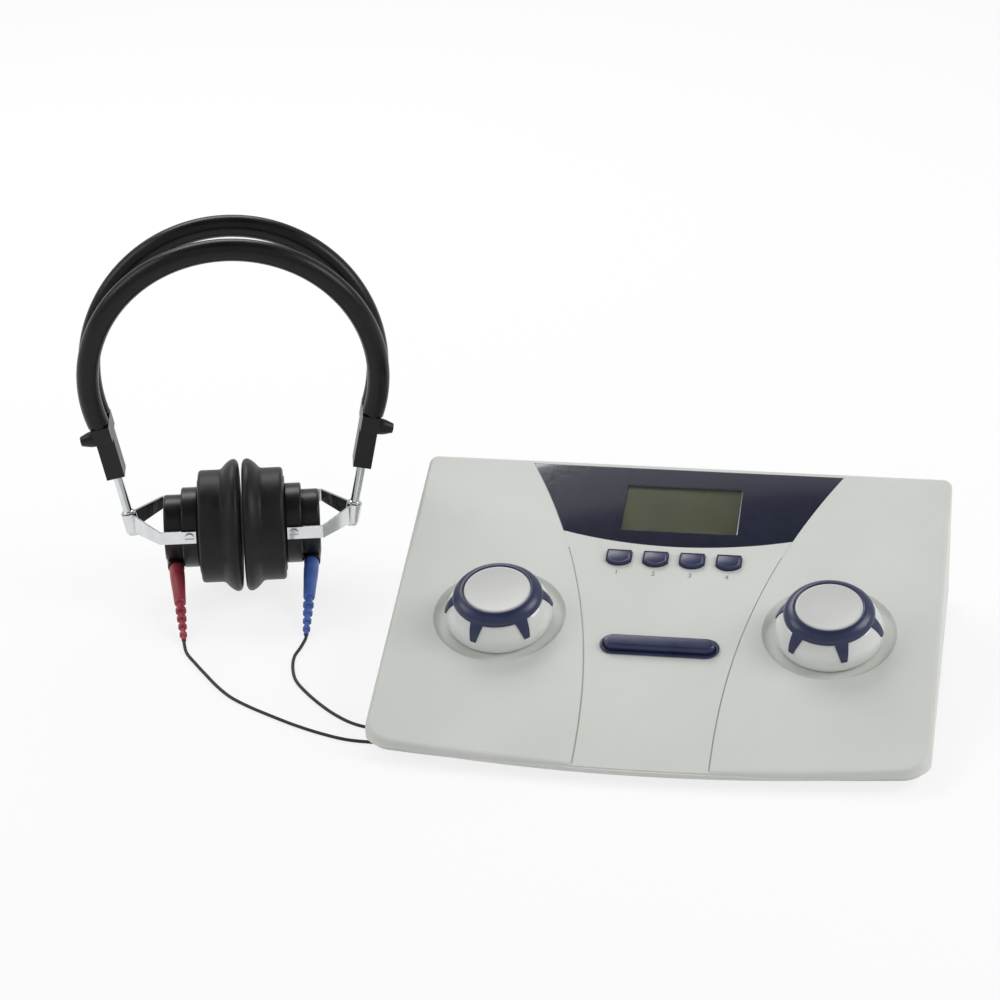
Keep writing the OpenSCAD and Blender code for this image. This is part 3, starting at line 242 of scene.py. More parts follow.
# Cushions: soft black rubber with a bloom on it
cushion_rubber = moulded("cushion_rubber", "#161617", "#212122", (0.36, 0.50), 0.7, 0.014, 10)
cushion_rubber.node_tree.nodes["Principled BSDF"].inputs["Sheen Weight"].default_value = 0.06
# Bands: a vinyl sleeve drawn over foam, satin, with a fine pebbled skin
band_vinyl = moulded("band_vinyl", "#0F0F10", "#171718", (0.24, 0.34), 0.8, 0.020, 14)
# Feet: plain matt rubber
foot_rubber = moulded("foot_rubber", "#1B1B1C", "#262627", (0.65, 0.80), 0.5, 0.020, 8)
# Leads and trunk: a matt sheath with small dents and a slight kinked look
sheath = moulded("lead_sheath", "#141415", "#1E1E1F", (0.48, 0.60), 1.2, 0.025, 6)
# Boots: coloured rubber, its tone drifting a little from place to place
red_rubber = moulded("red_rubber", "#98323F", "#AC4250", (0.36, 0.46), 0.8, 0.010, 6)
blue_rubber = moulded("blue_rubber", "#4464B0", "#5676C4", (0.36, 0.46), 0.8, 0.010, 6)
# Yokes and rods: bright chrome with hairline wipe marks
chrome = metal("chrome", "#D2D4D6", "#DEE0E2", (0.05, 0.12), (1, 1, 8), 0.0015)
# The blacks give back little of the pale room
for dark_finish, share in ((black_plastic, 0.3), (case_black, 0.3), (cushion_rubber, 0.22), (band_vinyl, 0.25)):
    shine = dark_finish.node_tree.nodes["Principled BSDF"].inputs["Specular IOR Level"]
    shine.default_value = share
# Screws, sockets and shafts: duller nickel with turning marks
steel = metal("nickel_steel", "#9EA2A7", "#B2B5B9", (0.22, 0.36), (6, 6, 1), 0.004)
# Drivers and contacts: yellow plated metal
gold = metal("driver_metal", "#A8935C", "#BFA970", (0.25, 0.38), (3, 3, 1), 0.004)


def make_window_glass():
    """Smoked window: deep navy lacquer behind a hard clear face, with faint wipe haze"""
    material, tree, shader, place = new_finish("window_navy")
    slow = grain(tree, place, 25, Detail=3.0)
    haze = grain(tree, place, 3, Detail=5.0)
    tree.links.new(tinted(tree, slow, "#161A2E", "#1B1F36"), shader.inputs["Base Color"])
    tree.links.new(between(tree, haze, 0.04, 0.09), shader.inputs["Roughness"])
    shader.inputs["Coat Weight"].default_value = 1
    shader.inputs["Coat Roughness"].default_value = 0.03
    bumped(tree, shader, slow, 0.004)
    return material


def make_pane():
    """The clear part of the window over the cell, slightly smoked"""
    material, tree, shader, place = new_finish("window_pane")
    haze = grain(tree, place, 3, Detail=5.0)
    shader.inputs["Base Color"].default_value = linear("#E4E4DE")
    shader.inputs["Transmission Weight"].default_value = 1
    shader.inputs["IOR"].default_value = 1.3
    tree.links.new(between(tree, haze, 0.02, 0.06), shader.inputs["Roughness"])
    bumped(tree, shader, haze, 0.001)
    return material


def make_lcd():
    """Liquid crystal cell: olive, with the faint grid of its dots"""
    material, tree, shader, place = new_finish("lcd_olive")
    slow = grain(tree, place, 30, Detail=2.0)
    dots = add(tree, "TexVoronoi", Vector=place, Scale=1600.0, Randomness=0.0)
    tree.links.new(tinted(tree, slow, "#62684E", "#6E7458"), shader.inputs["Base Color"])
    shader.inputs["Roughness"].default_value = 0.35
    bumped(tree, shader, dots.outputs["Distance"], 0.02)
    return material


def make_board():
    """Circuit board: green lacquer over copper tracks"""
    material, tree, shader, place = new_finish("board_green")
    tracks = add(tree, "TexVoronoi", Vector=place, Scale=260.0, distance="CHEBYCHEV", feature="F2")
    lines = tracks.outputs["Distance"]
    tree.links.new(tinted(tree, lines, "#24523A", "#3A7550"), shader.inputs["Base Color"])
    shader.inputs["Roughness"].default_value = 0.3
    bumped(tree, shader, lines, 0.03)
    return material


def make_ink():
    """Printed figures: thin grey ink with worn specks"""
    material, tree, shader, place = new_finish("label_ink")
    specks = grain(tree, place, 0.3, Detail=3.0)
    tree.links.new(tinted(tree, specks, "#6A6C74", "#7A7C84"), shader.inputs["Base Color"])
    shader.inputs["Roughness"].default_value = 0.5
    bumped(tree, shader, specks, 0.004)
    return material


window_navy, window_pane = make_window_glass(), make_pane()
lcd_olive, board_green, label_ink = make_lcd(), make_board(), make_ink()


# ---------- shaping ----------


def deselect():
    for other in bpy.context.view_layer.objects:
        other.select_set(False)


def pick(piece):
    """Makes a piece the only one that operators act on"""
    deselect()
    piece.select_set(True)
    bpy.context.view_layer.objects.active = piece


def editing(piece, mode="VERT"):
    pick(piece)
    bpy.ops.object.mode_set(mode="EDIT")
    bpy.ops.mesh.select_mode(type=mode)
    bpy.ops.mesh.select_all(action="DESELECT")


def done_editing():
    bpy.ops.object.mode_set(mode="OBJECT")


def select_where(piece, kind, test):
    """Selects the vertices, edges or polygons that pass a test, in edit mode"""
    bpy.ops.object.mode_set(mode="OBJECT")
    for one in getattr(piece.data, kind):
        one.select = bool(test(one))
    bpy.ops.object.mode_set(mode="EDIT")


def closed_up(piece, within=0.0005):
    """Merges doubled points and turns every face outwards"""
    editing(piece)
    bpy.ops.mesh.select_all(action="SELECT")
    bpy.ops.mesh.remove_doubles(threshold=within)
    bpy.ops.mesh.normals_make_consistent(inside=False)
    done_editing()


def modified(piece, kind, **settings):
    """Adds a modifier and applies it"""
    pick(piece)
    modifier = piece.modifiers.new("shape", kind)
    for name, value in settings.items():
        setattr(modifier, name, value)
    bpy.ops.object.modifier_apply(modifier=modifier.name)


def softened(piece, width, segments=2, angle=30):
    """Rounds the edges that are sharper than the angle"""
    limits = dict(limit_method="ANGLE", angle_limit=math.radians(angle), miter_outer="MITER_ARC")
    modified(piece, "BEVEL", width=width, segments=segments, use_clamp_overlap=True, **limits)


def named(name):
    piece = bpy.context.object
    piece.name = piece.data.name = name
    return piece


def spun(name, profile, sides=96):
    """A round piece about its z axis, spun from a profile of (radius, height)"""
    deselect()
    bpy.ops.mesh.primitive_plane_add(size=1, location=(0, 0, 0))
    piece = named(name)
    editing(piece)
    bpy.ops.mesh.select_all(action="SELECT")
    bpy.ops.mesh.merge(type="CENTER")
    at = Vector((0, 0, 0))
    points = [Vector((r, 0, z)) for r, z in profile]
    bpy.ops.transform.translate(value=points[0] - at)
    for a, b in zip(points, points[1:]):
        bpy.ops.mesh.extrude_vertices_move(TRANSFORM_OT_translate={"value": b - a})
    bpy.ops.mesh.select_all(action="SELECT")
    bpy.ops.mesh.spin(steps=sides, angle=2 * math.pi, center=(0, 0, 0), axis=(0, 0, 1))
    done_editing()
    closed_up(piece)
    return piece


def slab(name, outline, low, high):
    """A flat piece cut to an outline of (x, y) points, between two heights"""
    deselect()
    bpy.ops.mesh.primitive_circle_add(vertices=len(outline), radius=1, fill_type="NGON")
    piece = named(name)
    for vertex, (x, y) in zip(piece.data.vertices, outline):
        vertex.co = (x, y, low)
    editing(piece)
    bpy.ops.mesh.select_all(action="SELECT")
    bpy.ops.mesh.extrude_region_move(TRANSFORM_OT_translate={"value": (0, 0, high - low)})
    done_editing()
    closed_up(piece)
    return piece


def placed(piece, place):
    """Puts a finished mesh in the row frame, and keeps its faces outwards"""
    piece.data.transform(place)
    if place.determinant() < 0:
        piece.data.flip_normals()
    piece.data.update()
    return piece


def smooth(piece, angle=35):
    pick(piece)
    bpy.ops.object.shade_smooth_by_angle(angle=math.radians(angle))
    return piece


def flat_faced(piece, angle=35):
    """Smooth rounded edges whose shading doesn't run into the large flat faces"""
    smooth(piece, angle)
    modified(piece, "WEIGHTED_NORMAL", keep_sharp=True, weight=100)
    return piece


def cut(piece, tool, operation="DIFFERENCE"):
    """Cuts a piece with another, which goes away"""
    modified(piece, "BOOLEAN", object=tool, operation=operation, solver="EXACT")
    bpy.data.objects.remove(tool)


def copy_of(node, name):
    """A merged copy of a part's own mesh, in metres, ready for its edges to be worked"""
    piece = bpy.data.objects.new(name, nodes[node].data.copy())
    piece.data.name = name
    bpy.context.scene.collection.objects.link(piece)
    editing(piece)
    bpy.ops.mesh.select_all(action="SELECT")
    bpy.ops.mesh.remove_doubles(threshold=0.00001)
    bpy.ops.mesh.dissolve_limited(angle_limit=math.radians(1))
    done_editing()
    return piece


def dress(piece, finish, body, slot, *replaced):
    """Gives a piece its finish, its body and the parts that it stands for"""
    piece.data.materials.clear()
    piece.data.materials.append(finish)
    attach(piece, body)
    if replaced:
        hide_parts(*replaced)
    return piece


def repaint(finish, *names):
    """Gives parts that stay as they are a better finish"""
    for name in names:
        mesh = nodes[name].data
        mesh.materials.clear()
        mesh.materials.append(finish)
        smooth(nodes[name], 30)


# ---------- leads and trunk ----------


def desk(points):
    """Route points from the console's middle, put in the row frame"""
    return [CONSOLE @ Vector(p) for p in points]


def eased(points, steps):
    """A smooth line through the points, with that many steps between each two"""
    ends = [2 * points[0] - points[1], *points, 2 * points[-1] - points[-2]]
    line = []
    for a, b, c, d in zip(ends, ends[1:], ends[2:], ends[3:]):
        for i in range(steps):
            t = i / steps
            line.append(
                0.5
                * (
                    2 * b
                    + (c - a) * t
                    + (2 * a - 5 * b + 4 * c - d) * t * t
                    + (3 * b - a - 3 * c + d) * t**3
                )
            )
    return [*line, points[-1]]


def length_of(line):
    return sum((b - a).length for a, b in zip(line, line[1:]))


def strung(name, line, thick, sides=3):
    """A cord as one curve along a line"""
    data = bpy.data.curves.new(name, "CURVE")
    data.dimensions = "3D"
    data.bevel_depth = 0.5 * thick
    data.bevel_resolution = sides
    data.use_fill_caps = True
    spline = data.splines.new("POLY")
    spline.points.add(len(line) - 1)
    for point, place in zip(spline.points, line):
        point.co = (*place, 1)
        point.radius = 1
    piece = bpy.data.objects.new(name, data)
    bpy.context.scene.collection.objects.link(piece)
    return piece


def meshed(piece):
    """Turns a curve into a mesh, shaded smooth"""
    pick(piece)
    bpy.ops.object.convert(target="MESH")
    return smooth(bpy.context.object, 60)


LEAD_D, TRUNK_D = 0.0018, 0.0036
RED_ROUTE = [
    (-261.2, 3.8, 1.4), (-260.4, 1, 0.9), (-256.5, -9, 0.9), (-249, -20, 0.9),
    (-241, -31, 0.9), (-232, -43, 0.9), (-222, -54, 0.9), (-210, -63, 0.9),
    (-197, -71, 0.9), (-183, -79, 0.9), (-168, -86, 0.9), (-153, -91, 0.9),
    (-138, -92, 0.9), (-122, -91, 0.9), (-105, -87, 0.9), (-88, -80, 0.9),
    (-72, -70, 0.9), (-57, -57, 0.9), (-43, -42, 0.9), (-31, -25, 0.9),
    (-21, -7, 0.9), (-13, 12, 0.9), (-8, 31, 0.9), (-5, 50, 0.9), (-4, 70, 0.9),
    (-4, 90, 0.9), (-4, 108, 0.9), (-4, 116, 1.4), (-4, 121, 2.2), (-4, 124, 2.2),
]  # fmt: skip
BLUE_ROUTE = [
    (-197.2, 18, 1.4), (-196.9, 15, 0.9), (-197.4, 5, 0.9), (-198.5, -6, 0.9),
    (-196.5, -19, 0.9), (-192, -32, 0.9), (-184, -44, 0.9), (-174, -56, 0.9),
    (-164, -66, 0.9), (-153, -74, 0.9), (-141, -78, 0.9), (-127, -79, 0.9),
    (-112, -76, 0.9), (-97, -69, 0.9), (-83, -59, 0.9), (-69, -46, 0.9),
    (-56, -31, 0.9), (-44, -14, 0.9), (-33, 4, 0.9), (-24, 22, 0.9), (-16, 41, 0.9),
    (-11, 60, 0.9), (-9, 78, 0.9), (-8, 95, 0.9), (-8, 108, 0.9), (-8, 116, 1.4),
    (-8, 121, 2.2), (-8, 124, 2.2),
]  # fmt: skip
TRUNK_IN = [(-6, 139, 2.2), (-6, 142, 2.2), (-6, 150, 1.8), (-6, 158, 1.8), (-6, 162.4, 1.8)]
TRUNK_OUT = [
    (-70, 162.4, 5.9), (-70, 159, 5.9), (-70, 156, 6.7), (-70, 152.5, 8.7),
    (-70, 150, 11.8), (-70, 148.5, 16), (-70, 147, 20.2), (-70, 144.5, 23.3),
    (-70, 141, 25.3), (-70, 137, 26), (-70, 132, 26),
]  # fmt: skip


def coil_points(rings=36, turns=10.5, pitch=4.1):
    """The trunk's coil: in along its lower layer and out again along its upper one"""
    points = []
    for i in range(int(rings * turns) + 1):
        s = i / rings
        r = 31.76 - pitch * min(s, turns - s)
        rise = 0.5 - 0.5 * math.cos(math.pi * min(max(2 * (s - 0.5 * turns) + 0.5, 0), 1))
        a = 2 * math.pi * s
        points.append((-38 + r * math.cos(a), 166 + r * math.sin(a), 1.8 + pitch * rise))
    return points


def lay_lead(colour, side, route):
    """A thin lead. Its first three stretches are made as separate meshes, and the rest runs as one curve on the
    console.
    """
    line = eased(desk(route), 6)
    bodies = [f"{side}_ear", f"{side}_yoke", f"{side}_rod", "console"]
    names = ["at_ear", "at_yoke", "at_rod"]
    left = line
    for name, near, far in zip(names, bodies, bodies[1:]):
        count = next(i for i in range(len(left)) if length_of(left[: i + 1]) > 0.034)
        part, left = left[: count + 1], left[count:]
        piece = meshed(strung(f"{colour}_lead_{name}", part, LEAD_D))
        piece.data.materials.clear()
        piece.data.materials.append(sheath)
        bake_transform(piece)
        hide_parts(f"{colour}_lead")
    piece = strung(f"{colour}_lead_run", left, LEAD_D)
    dress(piece, sheath, "console", "lead_sheath", f"{colour}_lead")


lay_lead("red", "left", RED_ROUTE)
lay_lead("blue", "right", BLUE_ROUTE)


def make_plug():
    """The trunk's plug: a bevelled handle with finger grooves, and its contacts in the socket"""
    handle = [(0, 0), (5.3, 0), (5.8, 0.3), (6, 0.9), (6, 2.4)]
    for k in range(5):
        z = 3.2 + 1.7 * k
        handle += [(6, z), (5.65, z + 0.25), (5.65, z + 0.75), (6, z + 1.0)]
    handle += [(6, 12), (5.6, 13), (5.2, 13.5), (4.6, 14.4), (4.3, 15), (4.1, 16)]
    handle += [(3.9, 17.4), (3.4, 18), (3.8, 18.6), (3.3, 19.4), (3.6, 20), (3.1, 20.8)]
    handle += [(3.3, 21.4), (2.8, 22.2), (3.0, 22.8), (2.6, 23.6), (2.4, 25), (2.16, 25.9), (0, 25.9)]
    grip = placed(spun("plug_handle", handle, 48), CONSOLE @ shift(-70, 106.1, 26) @ turn(-90, "X"))
    dress(smooth(grip, 40), black_plastic, "console", "black_plastic", "jack_plug")
    tip = [(0, 0), (3.175, 0), (3.175, 8), (3.05, 8.1), (3.05, 9), (3.175, 9.1), (3.175, 18)]
    tip += [(2.4, 19), (2.3, 20.5), (2.3, 22), (3.1, 23.6), (2.4, 26), (1.6, 27), (0, 27)]
    pin = placed(spun("plug_contacts", tip, 48), CONSOLE @ shift(-70, 106.1, 26) @ turn(90, "X"))
    dress(smooth(pin, 40), steel, "console", "black_plastic", "jack_plug")
    return [grip, pin]


def make_splitter():
    """Where the two leads become one: a flattened moulding with soft edges"""
    outline = [(4.2 * math.cos(a), 2.15 * math.sin(a)) for a in (math.tau * i / 24 for i in range(24))]
    piece = slab("splitter_block", outline, 0, 15)
    editing(piece, "FACE")
    select_where(piece, "polygons", lambda f: abs(f.normal.z) > 0.9)
    bpy.ops.mesh.bevel(offset=0.9, segments=3, affect="EDGES")
    done_editing()
    placed(piece, CONSOLE @ shift(-6, 124, 2.2) @ turn(-90, "X"))
    return dress(smooth(piece, 50), sheath, "console", "black_rubber", "lead_splitter")


def lay_trunk():
    route = eased(desk(TRUNK_IN), 4)[:-1] + desk(coil_points()) + eased(desk(TRUNK_OUT), 4)[1:]
    piece = strung("trunk_run", route, TRUNK_D, 5)
    dress(piece, sheath, "console", "lead_sheath", "trunk_cord", "trunk_coil")
    make_plug()


lay_trunk()
make_splitter()


# ---------- housing ----------


def arc(centre, r, a, b, n):
    """Points of an arc from angle a to angle b, in degrees"""
    turns = [math.radians(a + (b - a) * i / n) for i in range(n + 1)]
    return [(centre[0] + r * math.cos(t), centre[1] + r * math.sin(t)) for t in turns]


def plan(inset):
    """The console's outline on the desk, drawn in by a distance"""
    hw, big = 142.5 - inset, 928.5114 - inset
    bow_y = 928.5114 - 116.5
    fr, rr = max(16 - inset, 1), max(5 - inset, 0.5)
    fy = bow_y - math.sqrt((big - fr) ** 2 - (hw - fr) ** 2)
    end = math.degrees(math.atan2(fy - bow_y, hw - fr))
    return (
        arc((0, bow_y), big, -180 - end, end, 28)
        + arc((hw - fr, fy), fr, end, 0, 16)[1:]
        + arc((hw - rr, 105.5 - inset - rr), rr, 0, 90, 10)
        + arc((rr - hw, 105.5 - inset - rr), rr, 90, 180, 10)
        + arc((fr - hw, fy), fr, 180, 360 - 180 - end, 16)[:-1]
    )


SLOPE_L = 211 / math.cos(math.radians(16.2))


def seam(v):
    """Half width of the centre panel at a distance up the slope"""
    return 34.6 + 52 * (max(v, 0) / SLOPE_L) ** 2.2


def panel_outline(a, b, n=44):
    up = [a + (b - a) * i / n for i in range(n + 1)]
    return [(seam(v), v) for v in up] + [(-seam(v), v) for v in reversed(up)]


def groove_outline(sign, n=40):
    """A fine groove along one edge of the centre panel"""
    up = [-8 + 158 * i / n for i in range(n + 1)]
    near = [(sign * (seam(v) - 0.05), v) for v in up]
    return near + [(sign * (seam(v) - 0.8), v) for v in reversed(up)]


def window_outline(inset, low=162.7, high=216.3):
    half = seam(low) - inset
    r = (half * half + 8.8**2) / (2 * 8.8)
    lean = math.degrees(math.asin(half / r))
    bowed = arc((0, low - 8.8 + inset + r), r, -90 - lean, -90 + lean, 28)
    up = [low + (high - inset - low) * i / 12 for i in range(1, 13)]
    right = [(seam(v) - inset, v) for v in up]
    return bowed + right + [(-x, v) for x, v in reversed(right)]


def key_outline(grow, n=20):
    """A key from above: flat at its rear and sides, rounded towards the user"""
    half, r = 6.5 + grow, 0.77 * 10.6 + grow
    middle, rear = 0.27 * 10.6, 5.3 + grow
    low = math.degrees(math.asin(-math.sqrt(r * r - half * half) / r))
    front = arc((0, middle), r, -180 - low, low, n)
    return [*front, (half, rear), (-half, rear)]


def slot_outline(length, width, n=16):
    x = 0.5 * (length - width)
    return arc((x, 0), 0.5 * width, -90, 90, n) + arc((-x, 0), 0.5 * width, 90, 270, n)


def block(name, size, middle):
    """A box of that size, as a cutting tool"""
    deselect()
    bpy.ops.mesh.primitive_cube_add(size=1, location=middle)
    piece = named(name)
    piece.data.transform(shift(*middle) @ Matrix.Diagonal((*size, 1)))
    piece.location = (0, 0, 0)
    return piece


# From the console's frame to the sloping face's frame, both in millimetres
TO_TOP = turn(-16.2, "X") @ shift(0, 105.5, -11)
FROM_TOP = TO_TOP.inverted()


def under_slope(piece, depth, fill=True):
    """Cuts off what stands higher than a depth under the sloping face"""
    normal = FROM_TOP.to_3x3() @ Vector((0, 0, 1))
    point = FROM_TOP @ Vector((0, 0, -depth))
    editing(piece)
    bpy.ops.mesh.select_all(action="SELECT")
    bpy.ops.mesh.bisect(plane_co=point, plane_no=normal, use_fill=fill, clear_outer=True)
    done_editing()
    closed_up(piece)
    return normal


def make_housing():
    """The top housing: rounded along its upper edge, with its panel, dishes and openings cut in"""
    piece = slab("housing_top", plan(0), 7, 100)
    normal = under_slope(piece, 0)
    editing(piece, "EDGE")
    faces = {}
    for polygon in piece.data.polygons:
        for key in polygon.edge_keys:
            faces.setdefault(key, []).append(polygon.normal.dot(normal) > 0.99)
    rim = {k for k, tops in faces.items() if any(tops) and not all(tops)}
    select_where(piece, "edges", lambda e: tuple(sorted(e.vertices)) in rim)
    bpy.ops.mesh.bevel(offset=3.2, segments=7, affect="EDGES", clamp_overlap=False)
    done_editing()

    hollow = slab("hollow", plan(3), 6, 100)
    under_slope(hollow, 3)
    cut(piece, hollow)
    cut(piece, placed(slab("panel", panel_outline(-25, SLOPE_L + 10), -0.6, 40), FROM_TOP))
    for sign in (-1, 1):
        cut(piece, placed(slab("groove", groove_outline(sign), -1.1, -0.3), FROM_TOP))
    cut(piece, placed(slab("sight", window_outline(0.2), -2, 40), FROM_TOP))
    cut(piece, placed(block("cell", (68, 42, 8), (0, 184, -4)), FROM_TOP))
    for i in range(4):
        hole = placed(slab("hole", key_outline(0.4), -6, 4), shift((i - 1.5) * 19.4, 143, 0))
        cut(piece, placed(hole, FROM_TOP))
    hole = placed(slab("hole", slot_outline(60.7, 12.8), -6, 4), shift(0, 77.5, 0))
    cut(piece, placed(hole, FROM_TOP))
    for x in (-85.7, 85.7):
        dish = [(0, -2.5), (29.6, -2.5), (31.2, -2.42), (32.4, -2.1), (33.4, -1.5)]
        dish += [(34.1, -0.7), (34.7, 0.02), (35, 0.5), (0, 0.5)]
        cut(piece, placed(spun("dish", dish), FROM_TOP @ shift(x, KNOB_V, 0)))
        bore = spun("bore", [(0, -8), (4.8, -8), (4.8, 1), (0, 1)], 48)
        cut(piece, placed(bore, FROM_TOP @ shift(x, KNOB_V, 0)))
    cut(piece, block("rear", (180, 5, 26), (0, 104, 26)))
    closed_up(piece)
    editing(piece)
    bpy.ops.mesh.select_all(action="SELECT")
    bpy.ops.mesh.dissolve_limited(angle_limit=math.radians(0.4))
    done_editing()
    softened(piece, 0.28, 2, 24)
    editing(piece)
    bpy.ops.mesh.select_all(action="SELECT")
    bpy.ops.mesh.dissolve_degenerate(threshold=0.01)
    done_editing()
    placed(piece, CONSOLE)
    dress(flat_faced(piece, 32), housing, "console", "housing", "top_shell")


make_housing()


def make_base():
    """The lower housing, with its edges taken off"""
    piece = copy_of("base_shell", "housing_base")
    softened(piece, 0.0004, 2, 40)
    dress(flat_faced(piece), housing, "console", "housing", "base_shell")


make_base()


def make_window():
    """The navy window with its clear pane over the cell"""
    piece = slab("window_face", window_outline(0.4), -2, -0.6)
    cut(piece, block("opening", (62, 36, 8), (0, 184, -1)))
    softened(piece, 0.15, 2, 40)
    placed(piece, TOP)
    dress(flat_faced(piece), window_navy, "console", "window", "display_window")
    pane = slab("window_clear", [(30.98, 17.98), (-30.98, 17.98), (-30.98, -17.98), (30.98, -17.98)], -0.5, -0.06)
    softened(pane, 0.05, 1, 40)
    placed(pane, TOP @ shift(0, 184, -0.6))
    dress(flat_faced(pane), window_pane, "console", "window", "display_window")


make_window()


# ---------- keys and tone bar ----------


def make_keys():
    """Four small keys, crowned, with their front edge rolled over"""
    for i in range(4):
        name = f"key_{i + 1}"
        piece = slab(name + "_cap", key_outline(0), -3.3, 1.8)
        editing(piece, "FACE")
        select_where(piece, "polygons", lambda f: f.normal.z > 0.9)
        bpy.ops.mesh.bevel(offset=1.3, segments=5, affect="EDGES")
        done_editing()
        for vertex in piece.data.vertices:
            if vertex.co.z > 1.7:
                vertex.co.z -= 0.012 * (vertex.co.x**2 + vertex.co.y**2)
        placed(piece, TOP @ shift((i - 1.5) * 19.4, 143, 0))
        dress(smooth(piece, 50), navy, name, "navy_plastic", name)
        collar = slab(name + "_collar", [(8, 6.5), (-8, 6.5), (-8, -6.5), (8, -6.5)], -4.8, -3.3)
        softened(collar, 0.3)
        stem = slab("stem", arc((0, 0), 1.7, 0, 345, 23), -9.4, -4.8)
        cut(collar, stem, "UNION")
        placed(collar, TOP @ shift((i - 1.5) * 19.4, 143, 0))
        dress(smooth(collar), navy, name, "navy_plastic", name)


make_keys()


def make_numbers():
    """Plain figures printed under the keys"""
    for i in range(4):
        deselect()
        bpy.ops.object.text_add(location=(0, 0, 0))
        text = bpy.context.object
        text.data.body = str(i + 1)
        text.data.size = 4.6
        text.data.align_x = "CENTER"
        text.data.align_y = "CENTER"
        text.data.extrude = 0.02
        pick(text)
        bpy.ops.object.convert(target="MESH")
        piece = named(f"figure_{i + 1}")
        placed(piece, TOP @ shift((i - 1.5) * 19.4, 132.4, -0.58))
        dress(piece, label_ink, "console", "navy_plastic")


make_numbers()


def make_tone_bar():
    """The wide bar and the flange that it moves in"""
    rim = slab("tone_rim", slot_outline(61.9, 14), -0.6, 0.5)
    cut(rim, slab("opening", slot_outline(58.3, 10.4), -6, 6))
    neck = slab("neck", slot_outline(60.5, 12.6), -3, -0.55)
    cut(neck, slab("opening", slot_outline(58.3, 10.4), -6, 6))
    softened(rim, 0.4, 3, 40)
    placed(rim, TOP @ shift(0, 77.5, 0))
    placed(neck, TOP @ shift(0, 77.5, 0))
    dress(smooth(rim), navy, "console", "navy_plastic", "tone_bezel")
    dress(smooth(neck), navy, "console", "navy_plastic", "tone_bezel")
    bar = slab("tone_cap", slot_outline(57.5, 9.6, 20), -3.3, 3.6)
    editing(bar, "FACE")
    select_where(bar, "polygons", lambda f: f.normal.z > 0.9)
    bpy.ops.mesh.bevel(offset=1.9, segments=6, affect="EDGES")
    done_editing()
    placed(bar, TOP @ shift(0, 77.5, 0))
    dress(smooth(bar, 50), navy, "tone_bar", "navy_plastic", "tone_bar")
    collar = slab("tone_collar", slot_outline(62.7, 12.8), -4.8, -3.3)
    for x in (-18, 18):
        cut(collar, slab("stem", arc((x, 0), 1.7, 0, 345, 23), -9.4, -4.6), "UNION")
    placed(collar, TOP @ shift(0, 77.5, 0))
    dress(smooth(collar), navy, "tone_bar", "navy_plastic", "tone_bar")


make_tone_bar()


# ---------- knobs ----------

FLANK = [(26.8, -2), (27.3, -1.2), (27.7, 0), (27.95, 1.2), (28, 2.4), (27.9, 3.7), (27.6, 5)]
FLANK += [(27.1, 6.5), (26.4, 8), (25.6, 9.4), (24.6, 10.8), (23.75, 11.8), (23, 12.7)]


def make_knob(side):
    """A tapered white body, a navy ring with six tabs, and a dished cap"""
    body = f"{side}_knob"
    foot = [(0, -1.2), (22, -1.2), (24.4, -1.2), (24.6, -2), (26, -2)]
    shoulder = [(22.6, 12.9), (20, 12.9), (20, 15.3), (0, 15.3)]
    piece = placed(spun(body + "_body", foot + FLANK + shoulder, 128), on_knob(side))
    dress(smooth(piece, 30), knob_white, body, "white_plastic", body)

    ring = [(20.1, 12.8), (23.2, 12.8), (23.4, 13.1), (23.42, 13.8), (23.1, 14.8), (22.5, 15.8)]
    ring += [(21.7, 16.7), (20.8, 17.4), (19.8, 17.95), (18.9, 18.3), (18.3, 18.4)]
    ring += [(17.8, 18.36), (17.5, 18.1), (17.5, 15.35), (20.1, 15.35)]
    piece = spun(body + "_ring", ring + ring[:1], 128)
    for k in range(6):
        tab = slab("tab", [(-3.5, 13.6), (-3.5, 12.6), (-1.6, 5), (1.6, 5), (3.5, 12.6), (3.5, 13.6)], 10, 40)
        tab.data.transform(turn(-90 + 60 * k, "Z") @ turn(90, "Z") @ turn(90, "X"))
        outer = [(r + 0.7, z) for r, z in FLANK if z > 4]
        inner = [(r - 0.2, z) for r, z in FLANK if z > 4]
        skin = spun("skin", outer + [(23.3, 13.7), (22, 13.7)] + inner[::-1] + outer[:1], 128)
        cut(skin, tab, "INTERSECT")
        softened(skin, 0.25, 2, 40)
        pick(piece)
        skin.select_set(True)
        bpy.ops.object.join()
    placed(piece, on_knob(side))
    dress(smooth(piece, 40), navy, body, "navy_plastic", f"{side}_ring")

    cap = [(0, 15.4), (17.4, 15.4), (17.4, 17.7), (17.25, 18.05), (16.9, 18.3), (16.4, 18.38)]
    cap += [(15.8, 18.3), (14, 18.05), (11, 17.8), (8, 17.6), (4, 17.45), (0, 17.4)]
    piece = placed(spun(f"{side}_knob_cap", cap, 128), on_knob(side))
    dress(smooth(piece, 50), cap_white, body, "cap_plastic", f"{side}_cap")


for side in SIDES:
    make_knob(side)


# ---------- headset ----------


def make_band(name, way):
    """A padded band: a round sleeve with its ends cut square and slightly rolled in"""
    deselect()
    bpy.ops.mesh.primitive_circle_add(vertices=40, radius=6, fill_type="NGON")
    piece = named(name + "_sleeve")
    piece.data.transform(turn(-18.5, "Z") @ shift(78, 0, 0) @ turn(90, "X"))
    editing(piece, "FACE")
    bpy.ops.mesh.select_all(action="SELECT")
    sweep = math.radians(180 + 2 * 18.5)
    bpy.ops.mesh.spin(steps=150, angle=-sweep, center=(0, 0, 0), axis=(0, 0, 1))
    done_editing()
    closed_up(piece)
    softened(piece, 0.7, 3, 60)
    placed(piece, on_band(way))
    dress(smooth(piece, 50), band_vinyl, "console", "band_padding", name)


make_band("front_band", -1)
make_band("rear_band", 1)


